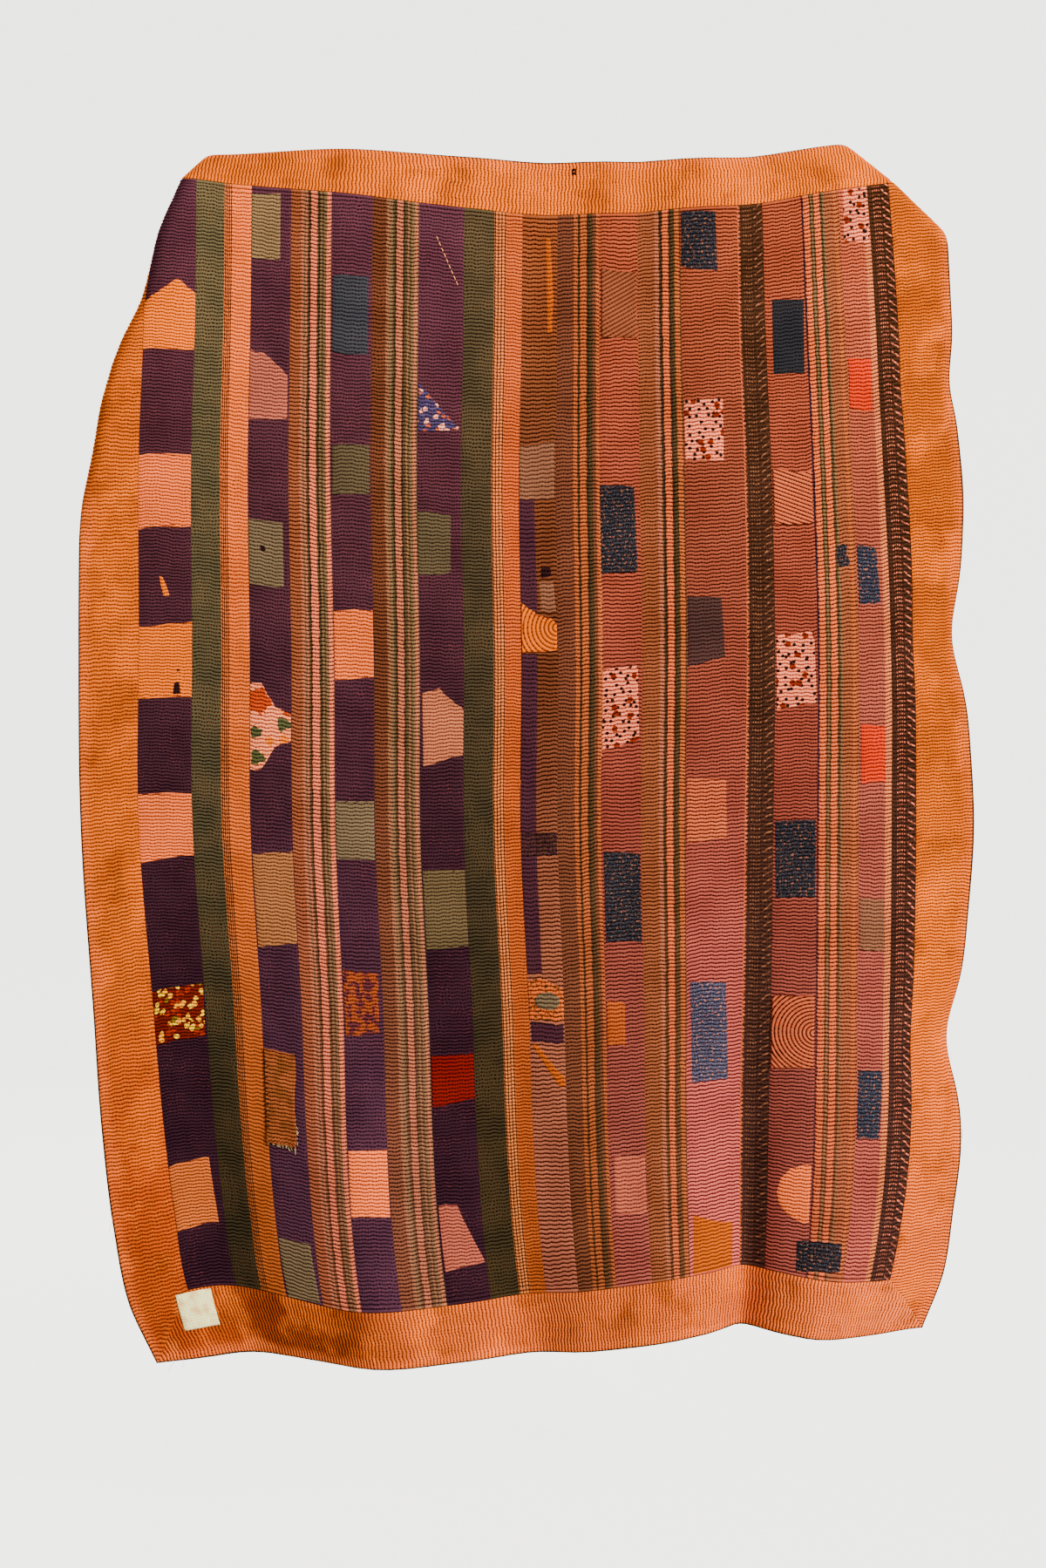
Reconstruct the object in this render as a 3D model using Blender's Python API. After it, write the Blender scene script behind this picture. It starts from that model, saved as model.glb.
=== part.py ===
# A hand-stitched patchwork quilt that hangs from its top edge, its front facing -Y.
# Metres, +Z up. The origin is the middle of the top edge.
# Each place on the cloth has two flat measures: across, from the left edge, and drop, from the top edge.
# The function hang() says where that place lies once the quilt is hung up.

import math

import bpy
import numpy as np

# The stack of cloth, from front to back
TOP_LAYER = 0.0024
BACKING_LAYER = 0.0013
PIECE_GAP = 0.0003
FRONT_FACE = 0.0020
BACKING_RIM = 0.0010

# The orange border that frames the strips
BORDER_LEFT = 0.101
BORDER_RIGHT = 0.093
BORDER_TOP = 0.091
BORDER_BOTTOM = 0.104
BORDER_STEPS = (0.0, 0.41, 0.80, 1.0)

# The strips, from left to right: width, and where the strip is divided, as shares of its width
STRIPS = (
    ("strip_01_plum", 0.089, (0.45,), "plum"),
    ("strip_02_olive", 0.050, (), "olive"),
    ("strip_03_check", 0.048, (), "apricot"),
    ("strip_04_plum", 0.071, (0.80,), "plum"),
    ("strip_05_stripe", 0.072, (0.5,), "stripe"),
    ("strip_06_plum", 0.067, (0.5,), "plum"),
    ("strip_07_stripe", 0.076, (0.5,), "stripe"),
    ("strip_08_plum", 0.074, (0.5,), "plum"),
    ("strip_09_olive", 0.050, (), "olive"),
    ("strip_10_check", 0.046, (), "apricot"),
    ("strip_11_brown", 0.063, (0.5,), "brown"),
    ("strip_12_stripe", 0.073, (0.5,), "stripe"),
    ("strip_13_salmon", 0.068, (0.5,), "salmon"),
    ("strip_14_stripe", 0.074, (0.5,), "stripe"),
    ("strip_15_salmon", 0.101, (0.34, 0.67), "salmon"),
    ("strip_16_dark", 0.048, (), "dark"),
    ("strip_17_salmon", 0.071, (0.5,), "salmon"),
    ("strip_18_stripe", 0.069, (0.5,), "stripe"),
    ("strip_19_salmon", 0.055, (), "salmon"),
    ("strip_20_dark", 0.041, (), "dark"),
)
STRIP_DROP = 1.835
STRIP_ROWS = (0.07, 0.14, 0.22, 0.31, 0.41, 0.51, 0.62, 0.74, 0.86, 0.98, 1.10, 1.22, 1.32, 1.42, 1.50,
              1.58, 1.67, 1.755)

# Where the seams that guide the hanging lie, to the right of the middle, at each drop. After the drop
# the columns are the left edge, left seam, quarter, middle, three-quarter, right seam and right edge.
HANG_ROWS = (
    (0.000, -0.726, -0.626, -0.316, 0.000, 0.351, 0.597, 0.687),
    (0.091, -0.728, -0.627, -0.316, -0.001, 0.354, 0.606, 0.697),
    (0.310, -0.730, -0.629, -0.318, -0.003, 0.358, 0.622, 0.711),
    (0.550, -0.735, -0.638, -0.319, -0.007, 0.367, 0.635, 0.723),
    (0.850, -0.738, -0.638, -0.313, -0.003, 0.371, 0.651, 0.733),
    (1.150, -0.735, -0.639, -0.310, -0.004, 0.368, 0.652, 0.745),
    (1.450, -0.715, -0.616, -0.296, 0.010, 0.365, 0.649, 0.733),
    (1.650, -0.701, -0.599, -0.290, 0.017, 0.362, 0.645, 0.729),
    (1.800, -0.683, -0.581, -0.280, 0.026, 0.362, 0.632, 0.719),
    (1.926, -0.657, -0.559, -0.264, 0.039, 0.362, 0.609, 0.703),
    (2.030, -0.612, -0.513, -0.244, 0.052, 0.360, 0.578, 0.668),
)

# Heights of the cloth's level lines at the same guides, and how far the top border leans back
TOP_EDGE_HEIGHT = (0.023, 0.023, 0.020, 0.000, 0.004, 0.035, 0.038)
TOP_SEAM_HEIGHT = (-0.017, -0.026, -0.062, -0.090, -0.082, -0.044, -0.035)
BOTTOM_SEAM_HEIGHT = (-1.912, -1.886, -1.909, -1.894, -1.848, -1.865, -1.858)
BOTTOM_EDGE_HEIGHT = (-2.009, -1.996, -2.001, -1.993, -1.948, -1.957, -1.951)
TOP_LEAN = (0.070, 0.068, 0.038, 0.012, 0.026, 0.030, 0.020)
LEAN_CURVE = 1.25

# Upright folds: name, place across at the top and at the bottom, reach to each side, and depth at the
# three stations, which are shares of the drop. A hollow is positive and a swell is negative.
FOLDS = (
    ("left_hollow", 0.24, 0.17, 0.090, 0.010, 0.010, 0.034),
    ("left_swell", 0.46, 0.45, 0.105, -0.016, -0.013, -0.050),
    ("middle_hollow", 0.78, 0.71, 0.080, 0.022, 0.017, 0.042),
    ("inner_hollow", 0.95, 0.93, 0.045, 0.008, 0.008, 0.000),
    ("broad_swell", 1.06, 0.97, 0.090, -0.016, -0.013, -0.024),
    ("sharp_hollow", 1.15, 1.13, 0.045, 0.004, 0.006, 0.046),
    ("right_swell", 1.28, 1.28, 0.080, -0.010, -0.010, -0.040),
    ("right_corner", 1.50, 1.50, 0.070, 0.000, 0.006, 0.030),
    ("left_corner", 0.00, 0.00, 0.070, 0.000, 0.006, 0.024),
)
FOLD_STATIONS = (0.0, 0.6, 1.0)

# The left edge is turned back: where the bend begins, to the right of the middle, at each drop
TURN_ROWS = (
    (0.000, -0.514),
    (0.091, -0.545),
    (0.170, -0.578),
    (0.306, -0.615),
    (0.370, -0.646),
    (0.447, -0.672),
    (0.580, -0.699),
    (0.690, -0.732),
    (0.800, -0.760),
    (2.030, -0.900),
)
TURN_RADIUS = 0.026
TURN_ANGLE = math.radians(172)

# The top right corner flops back over a slanting line between these two places, right and up
CORNER_START = (0.5435, 0.0304)
CORNER_END = (0.7174, -0.1362)
CORNER_RADIUS = 0.020
CORNER_ANGLE = math.radians(150)

# The right edge ripples: drop, reach up and down, shift to the right, and depth
RIPPLES = (
    (0.43, 0.055, -0.007, 0.012),
    (0.62, 0.080, 0.003, -0.010),
    (0.855, 0.085, -0.016, 0.024),
    (1.19, 0.120, 0.002, -0.012),
    (1.53, 0.085, -0.020, 0.030),
    (1.72, 0.090, 0.003, -0.010),
)
RIPPLE_BAND = 0.170

# The patch that stands off strip_04_plum, by its rows, and the blank label over the lower left corner
PATCH_STRIP = "strip_04_plum"
PATCH_ROWS = (1.42, 1.58)
PATCH_THICKNESS = 0.0016
LABEL_THICKNESS = 0.0008
ON_TOP_GAP = 0.0003

COLOURS = {
    "orange": (228, 128, 60),
    "plum": (78, 42, 56),
    "olive": (86, 74, 48),
    "apricot": (226, 140, 92),
    "stripe": (172, 110, 78),
    "brown": (142, 80, 44),
    "salmon": (190, 98, 78),
    "dark": (66, 38, 26),
    "reverse": (58, 36, 34),
    "patch": (190, 92, 40),
    "label": (238, 230, 208),
}
CLOTH_ROUGHNESS = 0.9
STEP_FOR_SLOPE = 0.004
SHARP_ANGLE = math.radians(50)

WIDTH = BORDER_LEFT + sum(width for _, width, _, _ in STRIPS) + BORDER_RIGHT
LENGTH = BORDER_TOP + STRIP_DROP + BORDER_BOTTOM
LOWEST_SEAM = LENGTH - BORDER_BOTTOM


def strip_edges():
    """Give each strip's left and right edge, measured across the flat cloth."""
    edges = {}
    left = BORDER_LEFT
    for name, width, _, _ in STRIPS:
        edges[name] = (left, left + width)
        left += width
    return edges


EDGES = strip_edges()
GUIDES = (0.0, BORDER_LEFT, EDGES["strip_05_stripe"][1], EDGES["strip_11_brown"][0],
          EDGES["strip_16_dark"][0], EDGES["strip_20_dark"][1], WIDTH)


def smooth(at, places, values):
    """Read a table as a smooth curve whose slope at a row follows the rows beside it."""
    places = np.asarray(places, float)
    values = np.asarray(values, float)
    slopes = np.gradient(values, places)
    row = np.clip(np.searchsorted(places, at, side="right") - 1, 0, len(places) - 2)
    span = places[row + 1] - places[row]
    share = (at - places[row]) / span
    rest = 1.0 - share
    from_left = values[row] * (1 + 2 * share) * rest ** 2 + slopes[row] * span * share * rest ** 2
    from_right = values[row + 1] * (3 - 2 * share) * share ** 2 - slopes[row + 1] * span * rest * share ** 2
    return from_left + from_right


def place_right(across, drop):
    """Distance to the right of the middle, from the seams that guide the hanging."""
    drops = [row[0] for row in HANG_ROWS]
    guides = np.asarray(GUIDES)
    curves = [smooth(drop, drops, [row[number + 1] for row in HANG_ROWS]) for number in range(len(guides))]
    left = np.clip(np.searchsorted(guides, across, side="right") - 1, 0, len(guides) - 2)
    share = (across - guides[left]) / (guides[left + 1] - guides[left])
    places = np.stack(curves)
    points = np.arange(len(across))
    return places[left, points] * (1 - share) + places[left + 1, points] * share


def place_up(across, drop):
    """Height, from the four level lines, straight between one line and the next."""
    levels = np.asarray((0.0, BORDER_TOP, LOWEST_SEAM, LENGTH))
    heights = (TOP_EDGE_HEIGHT, TOP_SEAM_HEIGHT, BOTTOM_SEAM_HEIGHT, BOTTOM_EDGE_HEIGHT)
    curves = np.stack([smooth(across, GUIDES, height) for height in heights])
    upper = np.clip(np.searchsorted(levels, drop, side="right") - 1, 0, len(levels) - 2)
    share = (drop - levels[upper]) / (levels[upper + 1] - levels[upper])
    points = np.arange(len(across))
    return curves[upper, points] * (1 - share) + curves[upper + 1, points] * share


def fold_depth(across, drop):
    """How far back the cloth lies, from its upright folds and the lean of its top border."""
    share = drop / LENGTH
    depth = np.zeros(len(across))
    for _, top_place, low_place, reach, *depths in FOLDS:
        centre = top_place + (low_place - top_place) * share
        strength = smooth(share, FOLD_STATIONS, depths)
        depth += strength * np.exp(-((across - centre) / reach) ** 2)
    above_seam = np.clip(1.0 - drop / BORDER_TOP, 0.0, None)
    return depth + smooth(across, GUIDES, TOP_LEAN) * above_seam ** LEAN_CURVE


def bend(beyond, radius, most):
    """Carry cloth that runs past a bend's start round it: how far on and how far back it gets."""
    beyond = np.maximum(beyond, 0.0)
    angle = np.minimum(beyond / radius, most)
    straight = beyond - angle * radius
    onward = radius * np.sin(angle) + straight * np.cos(angle)
    back = radius * (1 - np.cos(angle)) + straight * np.sin(angle)
    return onward, back


def hang(across, drop):
    """Say where flat places of the cloth lie once it hangs, before the origin is set."""
    right = place_right(across, drop)
    up = place_up(across, drop)

    # the ripples of the right edge
    near_edge = np.clip((across - (WIDTH - RIPPLE_BAND)) / RIPPLE_BAND, 0.0, None) ** 2
    ripple_back = np.zeros(len(across))
    for centre, reach, shift, depth in RIPPLES:
        strength = near_edge * np.exp(-((drop - centre) / reach) ** 2)
        right = right + shift * strength
        ripple_back += depth * strength

    # the left edge, turned back
    bend_start = smooth(drop, [row[0] for row in TURN_ROWS], [row[1] for row in TURN_ROWS])
    beyond = np.maximum(bend_start - right, 0.0)
    onward, turned_back = bend(beyond, TURN_RADIUS, TURN_ANGLE)
    right = right + beyond - onward
    back = fold_depth(across + beyond, drop) + ripple_back + turned_back

    # the top right corner, flopped back over its slanting line
    run = (CORNER_END[0] - CORNER_START[0], CORNER_END[1] - CORNER_START[1])
    length = math.hypot(*run)
    outward = (-run[1] / length, run[0] / length)
    line_distance = (right - CORNER_START[0]) * outward[0] + (up - CORNER_START[1]) * outward[1]
    beyond = np.maximum(line_distance + CORNER_RADIUS, 0.0)
    onward, flopped_back = bend(beyond, CORNER_RADIUS, CORNER_ANGLE)
    right = right + (onward - beyond) * outward[0]
    up = up + (onward - beyond) * outward[1]
    return np.stack((right, back + flopped_back, up), axis=1)


ORIGIN_SHIFT = hang(np.array([GUIDES[3]]), np.array([0.0]))[0]


def hung_places(flat):
    """Give the places and the front normals of flat points, an array with a row for each."""
    across, drop = flat[:, 0], flat[:, 1]
    step = STEP_FOR_SLOPE
    places = hang(across, drop) - ORIGIN_SHIFT
    along_across = hang(across + step, drop) - hang(across - step, drop)
    along_drop = hang(across, drop + step) - hang(across, drop - step)
    normals = np.cross(along_drop, along_across)
    return places, normals / np.linalg.norm(normals, axis=1, keepdims=True)


def grid_lines():
    """Give the flat lines that every piece's triangles follow, so that neighbours match."""
    columns = {share * BORDER_LEFT for share in BORDER_STEPS}
    columns |= {WIDTH - share * BORDER_RIGHT for share in BORDER_STEPS}
    for name, width, divisions, _ in STRIPS:
        left = EDGES[name][0]
        columns |= {left, left + width} | {left + share * width for share in divisions}
    rows = {share * BORDER_TOP for share in BORDER_STEPS}
    rows |= {LENGTH - share * BORDER_BOTTOM for share in BORDER_STEPS}
    rows |= {BORDER_TOP + row for row in STRIP_ROWS}
    tidy = [sorted({round(line, 6) for line in lines}) for lines in (columns, rows)]
    return np.array(tidy[0]), np.array(tidy[1])


COLUMNS, ROWS = grid_lines()
FLAT_POINTS = np.array([(across, drop) for drop in ROWS for across in COLUMNS])


def grid_triangles():
    """Split the flat grid so that its slanting lines follow the mitres of the four corners."""
    triangles = []
    count = len(COLUMNS)
    for row in range(len(ROWS) - 1):
        for column in range(count - 1):
            top_left = row * count + column
            top_right = top_left + 1
            low_left = top_left + count
            low_right = low_left + 1
            in_left = COLUMNS[column] < WIDTH / 2
            in_upper = ROWS[row] < LENGTH / 2
            if in_left == in_upper:
                triangles.append((top_left, low_left, low_right))
                triangles.append((top_left, low_right, top_right))
            else:
                triangles.append((top_left, low_left, top_right))
                triangles.append((top_right, low_left, low_right))
    return triangles


TRIANGLES = grid_triangles()


def outline_of(triangles):
    """Give the edges that only one of the triangles uses, in their walking order."""
    walked = set()
    for first, second, third in triangles:
        walked |= {(first, second), (second, third), (third, first)}
    return sorted((start, end) for start, end in walked if (end, start) not in walked)


def drawn_in(points, outline, inset):
    """Move the outline's points towards the piece, by the inset at right angles to each edge."""
    inward = {}
    for start, end in outline:
        along = FLAT_POINTS[end] - FLAT_POINTS[start]
        normal = np.array((along[1], -along[0])) / np.linalg.norm(along)
        inward.setdefault(start, []).append(normal)
        inward.setdefault(end, []).append(normal)
    moved = {}
    for point in points:
        place = FLAT_POINTS[point].copy()
        if point in inward:
            first, second = inward[point]
            place += inset * (first + second) / (1.0 + first @ second)
        moved[point] = place
    return moved


def cloth_material(name, colour):
    """Make the plain cloth finish of one piece."""
    material = bpy.data.materials.new(name)
    material.use_nodes = True
    shader = material.node_tree.nodes["Principled BSDF"]
    linear = [(value / 255.0) ** 2.2 for value in COLOURS[colour]]
    shader.inputs["Base Color"].default_value = (*linear, 1.0)
    shader.inputs["Roughness"].default_value = CLOTH_ROUGHNESS
    shader.inputs["Metallic"].default_value = 0.0
    return material


def cloth_piece(name, covers, front, thickness, inset, colour, parent):
    """Cut a piece from the grid where covers(across, drop) holds, hang it and give it its thickness."""
    triangles = [corners for corners in TRIANGLES if covers(*FLAT_POINTS[list(corners)].mean(axis=0))]
    outline = outline_of(triangles)
    used = sorted({point for corners in triangles for point in corners})
    flat = drawn_in(used, outline, inset)
    places, normals = hung_places(np.array([flat[point] for point in used]))
    number = {point: index for index, point in enumerate(used)}
    count = len(used)
    vertices = np.concatenate((places + normals * front, places + normals * (front - thickness)))

    faces = []
    for corners in triangles:
        first, second, third = [number[point] for point in corners]
        faces.append((first, second, third))
        faces.append((third + count, second + count, first + count))
    for start, end in outline:
        near_start, near_end = number[start], number[end]
        far_start, far_end = near_start + count, near_end + count
        if start < end:
            faces.append((near_end, near_start, far_start))
            faces.append((near_end, far_start, far_end))
        else:
            faces.append((near_end, near_start, far_end))
            faces.append((near_start, far_start, far_end))

    mesh = bpy.data.meshes.new(name)
    mesh.from_pydata(vertices.tolist(), [], faces)
    mesh.shade_smooth()
    mesh.set_sharp_from_angle(angle=SHARP_ANGLE)
    mesh.materials.append(cloth_material(name, colour))
    piece = bpy.data.objects.new(name, mesh)
    piece.parent = parent
    bpy.context.collection.objects.link(piece)
    return piece


def border_side(across, drop):
    """Say which border piece a flat place belongs to, or None inside the frame."""
    shares = {
        "border_left": across / BORDER_LEFT,
        "border_right": (WIDTH - across) / BORDER_RIGHT,
        "border_top": drop / BORDER_TOP,
        "border_bottom": (LENGTH - drop) / BORDER_BOTTOM,
    }
    side = min(shares, key=shares.get)
    return side if shares[side] < 1.0 else None


def make_strips(quilt):
    """Cut the upright strips of the middle."""
    for name, _, _, colour in STRIPS:
        left, right = EDGES[name]

        def covers(across, drop, left=left, right=right):
            return left < across < right and BORDER_TOP < drop < LOWEST_SEAM

        cloth_piece(name, covers, FRONT_FACE, TOP_LAYER, PIECE_GAP / 2, colour, quilt)


def make_borders(quilt):
    """Cut the four mitred pieces of the border."""
    for side in ("border_left", "border_right", "border_top", "border_bottom"):

        def covers(across, drop, side=side):
            return border_side(across, drop) == side

        cloth_piece(side, covers, FRONT_FACE, TOP_LAYER, PIECE_GAP / 2, "orange", quilt)


def make_backing(quilt):
    """Cut the dark sheet behind, a rim wider than the front."""
    front = FRONT_FACE - TOP_LAYER - PIECE_GAP
    cloth_piece("backing", lambda across, drop: True, front, BACKING_LAYER, -BACKING_RIM, "reverse", quilt)


def make_loose_patch(quilt):
    """Cut the patch that stands off its strip, over the strip's wider part."""
    left, right = EDGES[PATCH_STRIP]
    share = next(divisions[0] for name, _, divisions, _ in STRIPS if name == PATCH_STRIP)
    division = left + share * (right - left)
    top, bottom = (BORDER_TOP + row for row in PATCH_ROWS)

    def covers(across, drop):
        return left < across < division and top < drop < bottom

    front = FRONT_FACE + ON_TOP_GAP + PATCH_THICKNESS
    cloth_piece("loose_patch", covers, front, PATCH_THICKNESS, PIECE_GAP, "patch", quilt)


def make_label(quilt):
    """Cut the blank label over the seams of the lower left corner."""
    first_strip, _, divisions, _ = STRIPS[0]
    strip_left, strip_right = EDGES[first_strip]
    left = BORDER_LEFT * BORDER_STEPS[2]
    right = strip_left + divisions[0] * (strip_right - strip_left)
    bottom = LENGTH - BORDER_BOTTOM * BORDER_STEPS[1]

    def covers(across, drop):
        return left < across < right and LOWEST_SEAM < drop < bottom

    front = FRONT_FACE + ON_TOP_GAP + LABEL_THICKNESS
    cloth_piece("blank_label", covers, front, LABEL_THICKNESS, PIECE_GAP, "label", quilt)


def main():
    for old in list(bpy.data.objects):
        bpy.data.objects.remove(old)
    quilt = bpy.data.objects.new("quilt", None)
    bpy.context.collection.objects.link(quilt)
    make_strips(quilt)
    make_borders(quilt)
    make_backing(quilt)
    make_loose_patch(quilt)
    make_label(quilt)


main()
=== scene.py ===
# The hanging patchwork quilt with its stitched cloth, patches, label, threads and studio.
# Metres, +Z up, the front faces -Y. Each place on the cloth has two flat measures:
# across, from the left edge, and drop, from the top edge. The function hang says where it lies.

import math

import bpy
import numpy as np
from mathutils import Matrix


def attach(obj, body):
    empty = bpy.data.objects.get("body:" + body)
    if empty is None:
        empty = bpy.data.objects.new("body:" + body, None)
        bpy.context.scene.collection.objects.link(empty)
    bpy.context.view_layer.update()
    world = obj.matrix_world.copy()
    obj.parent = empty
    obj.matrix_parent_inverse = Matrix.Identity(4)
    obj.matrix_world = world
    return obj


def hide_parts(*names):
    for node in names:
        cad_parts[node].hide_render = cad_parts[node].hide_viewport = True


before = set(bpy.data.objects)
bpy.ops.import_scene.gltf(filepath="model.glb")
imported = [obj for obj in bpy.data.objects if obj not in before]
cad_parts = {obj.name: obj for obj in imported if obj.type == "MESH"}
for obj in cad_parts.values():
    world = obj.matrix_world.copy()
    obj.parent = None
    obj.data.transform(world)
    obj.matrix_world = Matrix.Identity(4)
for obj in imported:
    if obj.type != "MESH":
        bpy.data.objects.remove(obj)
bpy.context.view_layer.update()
print("frame loaded")


# The flat quilt and the way it hangs, the same as in the CAD model

quilt = {
    "borderLeft": 0.101,
    "borderRight": 0.093,
    "borderTop": 0.091,
    "borderBottom": 0.104,
    "stripDrop": 1.835,
    "backingRim": 0.0010,
}

# strip, width, rows of stitching down the strip, material slot, cloth
strips = (
    ("strip_01_plum", 0.089, 334, "plum", "plum"),
    ("strip_02_olive", 0.050, 314, "olive", "olive"),
    ("strip_03_check", 0.048, 292, "check", "check_03"),
    ("strip_04_plum", 0.071, 302, "plum", "plumLight"),
    ("strip_05_stripe", 0.072, 292, "stripe", "strip_05_stripe"),
    ("strip_06_plum", 0.067, 300, "plum", "plumLight"),
    ("strip_07_stripe", 0.076, 290, "stripe", "strip_07_stripe"),
    ("strip_08_plum", 0.074, 306, "plum", "plum"),
    ("strip_09_olive", 0.050, 303, "olive", "oliveDark"),
    ("strip_10_check", 0.046, 311, "check", "check_10"),
    ("strip_11_brown", 0.063, 257, "brown", "brown"),
    ("strip_12_stripe", 0.073, 281, "stripe", "strip_12_stripe"),
    ("strip_13_salmon", 0.068, 276, "salmon", "salmon"),
    ("strip_14_stripe", 0.074, 288, "stripe", "strip_14_stripe"),
    ("strip_15_salmon", 0.101, 283, "salmon", "salmonDeep"),
    ("strip_16_dark", 0.048, 261, "dark_brown", "dark_16"),
    ("strip_17_salmon", 0.071, 294, "salmon", "salmon"),
    ("strip_18_stripe", 0.069, 275, "stripe", "strip_18_stripe"),
    ("strip_19_salmon", 0.055, 288, "salmon", "sliver_19"),
    ("strip_20_dark", 0.041, 266, "dark_brown", "dark_20"),
)

# rows of stitching down the same drop on the strips, the borders and the backing
rowCounts = {name: rows for name, width, rows, slot, cloth in strips}
rowCounts.update(border_left=298, border_right=326, border_top=300, border_bottom=300, backing=291)

# drop, then the distance right of the middle of the left edge, left seam, quarter, middle,
# three-quarter, right seam and right edge
hangRows = (
    (0.000, -0.726, -0.626, -0.316, 0.000, 0.351, 0.597, 0.687),
    (0.091, -0.728, -0.627, -0.316, -0.001, 0.354, 0.606, 0.697),
    (0.310, -0.730, -0.629, -0.318, -0.003, 0.358, 0.622, 0.711),
    (0.550, -0.735, -0.638, -0.319, -0.007, 0.367, 0.635, 0.723),
    (0.850, -0.738, -0.638, -0.313, -0.003, 0.371, 0.651, 0.733),
    (1.150, -0.735, -0.639, -0.310, -0.004, 0.368, 0.652, 0.745),
    (1.450, -0.715, -0.616, -0.296, 0.010, 0.365, 0.649, 0.733),
    (1.650, -0.701, -0.599, -0.290, 0.017, 0.362, 0.645, 0.729),
    (1.800, -0.683, -0.581, -0.280, 0.026, 0.362, 0.632, 0.719),
    (1.926, -0.657, -0.559, -0.264, 0.039, 0.362, 0.609, 0.703),
    (2.030, -0.612, -0.513, -0.244, 0.052, 0.360, 0.578, 0.668),
)
levels = {
    "topEdge": (0.023, 0.023, 0.020, 0.000, 0.004, 0.035, 0.038),
    "topSeam": (-0.017, -0.026, -0.062, -0.090, -0.082, -0.044, -0.035),
    "bottomSeam": (-1.912, -1.886, -1.909, -1.894, -1.848, -1.865, -1.858),
    "bottomEdge": (-2.009, -1.996, -2.001, -1.993, -1.948, -1.957, -1.951),
    "topLean": (0.070, 0.068, 0.038, 0.012, 0.026, 0.030, 0.020),
    "leanCurve": 1.25,
}

# upright folds: place across at the top and at the bottom, reach, and depth at the three stations
folds = (
    (0.24, 0.17, 0.090, 0.010, 0.010, 0.034),
    (0.46, 0.45, 0.105, -0.016, -0.013, -0.050),
    (0.78, 0.71, 0.080, 0.022, 0.017, 0.042),
    (0.95, 0.93, 0.045, 0.008, 0.008, 0.000),
    (1.06, 0.97, 0.090, -0.016, -0.013, -0.024),
    (1.15, 1.13, 0.045, 0.004, 0.006, 0.046),
    (1.28, 1.28, 0.080, -0.010, -0.010, -0.040),
    (1.50, 1.50, 0.070, 0.000, 0.006, 0.030),
    (0.00, 0.00, 0.070, 0.000, 0.006, 0.024),
)
foldStations = (0.0, 0.6, 1.0)

# the turned left edge: drop, and where the bend begins
turnRows = (
    (0.000, -0.514),
    (0.091, -0.545),
    (0.170, -0.578),
    (0.306, -0.615),
    (0.370, -0.646),
    (0.447, -0.672),
    (0.580, -0.699),
    (0.690, -0.732),
    (0.800, -0.760),
    (2.030, -0.900),
)
turn = {"radius": 0.026, "angle": math.radians(172)}
corner = {
    "start": (0.5435, 0.0304),
    "end": (0.7174, -0.1362),
    "radius": 0.020,
    "angle": math.radians(150),
}

# ripples of the right edge: drop, reach, shift to the right, depth
ripples = (
    (0.43, 0.055, -0.007, 0.012),
    (0.62, 0.080, 0.003, -0.010),
    (0.855, 0.085, -0.016, 0.024),
    (1.19, 0.120, 0.002, -0.012),
    (1.53, 0.085, -0.020, 0.030),
    (1.72, 0.090, 0.003, -0.010),
)
rippleBand = 0.170
slopeStep = 0.004

stripEdges = {}
runningLeft = quilt["borderLeft"]
for stripName, stripWidth, *others in strips:
    stripEdges[stripName] = (runningLeft, runningLeft + stripWidth)
    runningLeft += stripWidth
rightSeam = runningLeft
quiltWidth = rightSeam + quilt["borderRight"]
quiltLength = quilt["borderTop"] + quilt["stripDrop"] + quilt["borderBottom"]
lowSeam = quiltLength - quilt["borderBottom"]
guides = (
    0.0,
    quilt["borderLeft"],
    stripEdges["strip_05_stripe"][1],
    stripEdges["strip_11_brown"][0],
    stripEdges["strip_16_dark"][0],
    rightSeam,
    quiltWidth,
)


def smoothTable(at, places, values):
    places = np.asarray(places, float)
    values = np.asarray(values, float)
    slopes = np.gradient(values, places)
    row = np.clip(np.searchsorted(places, at, side="right") - 1, 0, len(places) - 2)
    span = places[row + 1] - places[row]
    share = (at - places[row]) / span
    rest = 1.0 - share
    fromLeft = values[row] * (1 + 2 * share) * rest ** 2 + slopes[row] * span * share * rest ** 2
    fromRight = values[row + 1] * (3 - 2 * share) * share ** 2 - slopes[row + 1] * span * rest * share ** 2
    return fromLeft + fromRight


def betweenLines(lines, at, curves):
    # straight between the curves of the two lines on either side of each place
    lines = np.asarray(lines)
    before = np.clip(np.searchsorted(lines, at, side="right") - 1, 0, len(lines) - 2)
    share = (at - lines[before]) / (lines[before + 1] - lines[before])
    points = np.arange(len(at))
    return curves[before, points] * (1 - share) + curves[before + 1, points] * share


def placeRight(across, drop):
    drops, *columns = zip(*hangRows)
    curves = np.stack([smoothTable(drop, drops, column) for column in columns])
    return betweenLines(guides, across, curves)


def placeUp(across, drop):
    names = ("topEdge", "topSeam", "bottomSeam", "bottomEdge")
    curves = np.stack([smoothTable(across, guides, levels[name]) for name in names])
    return betweenLines((0.0, quilt["borderTop"], lowSeam, quiltLength), drop, curves)


def foldDepth(across, drop):
    share = drop / quiltLength
    depth = np.zeros(len(across))
    for topPlace, lowPlace, reach, *depths in folds:
        centre = topPlace + (lowPlace - topPlace) * share
        depth += smoothTable(share, foldStations, depths) * np.exp(-((across - centre) / reach) ** 2)
    aboveSeam = np.clip(1.0 - drop / quilt["borderTop"], 0.0, None)
    return depth + smoothTable(across, guides, levels["topLean"]) * aboveSeam ** levels["leanCurve"]


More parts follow.
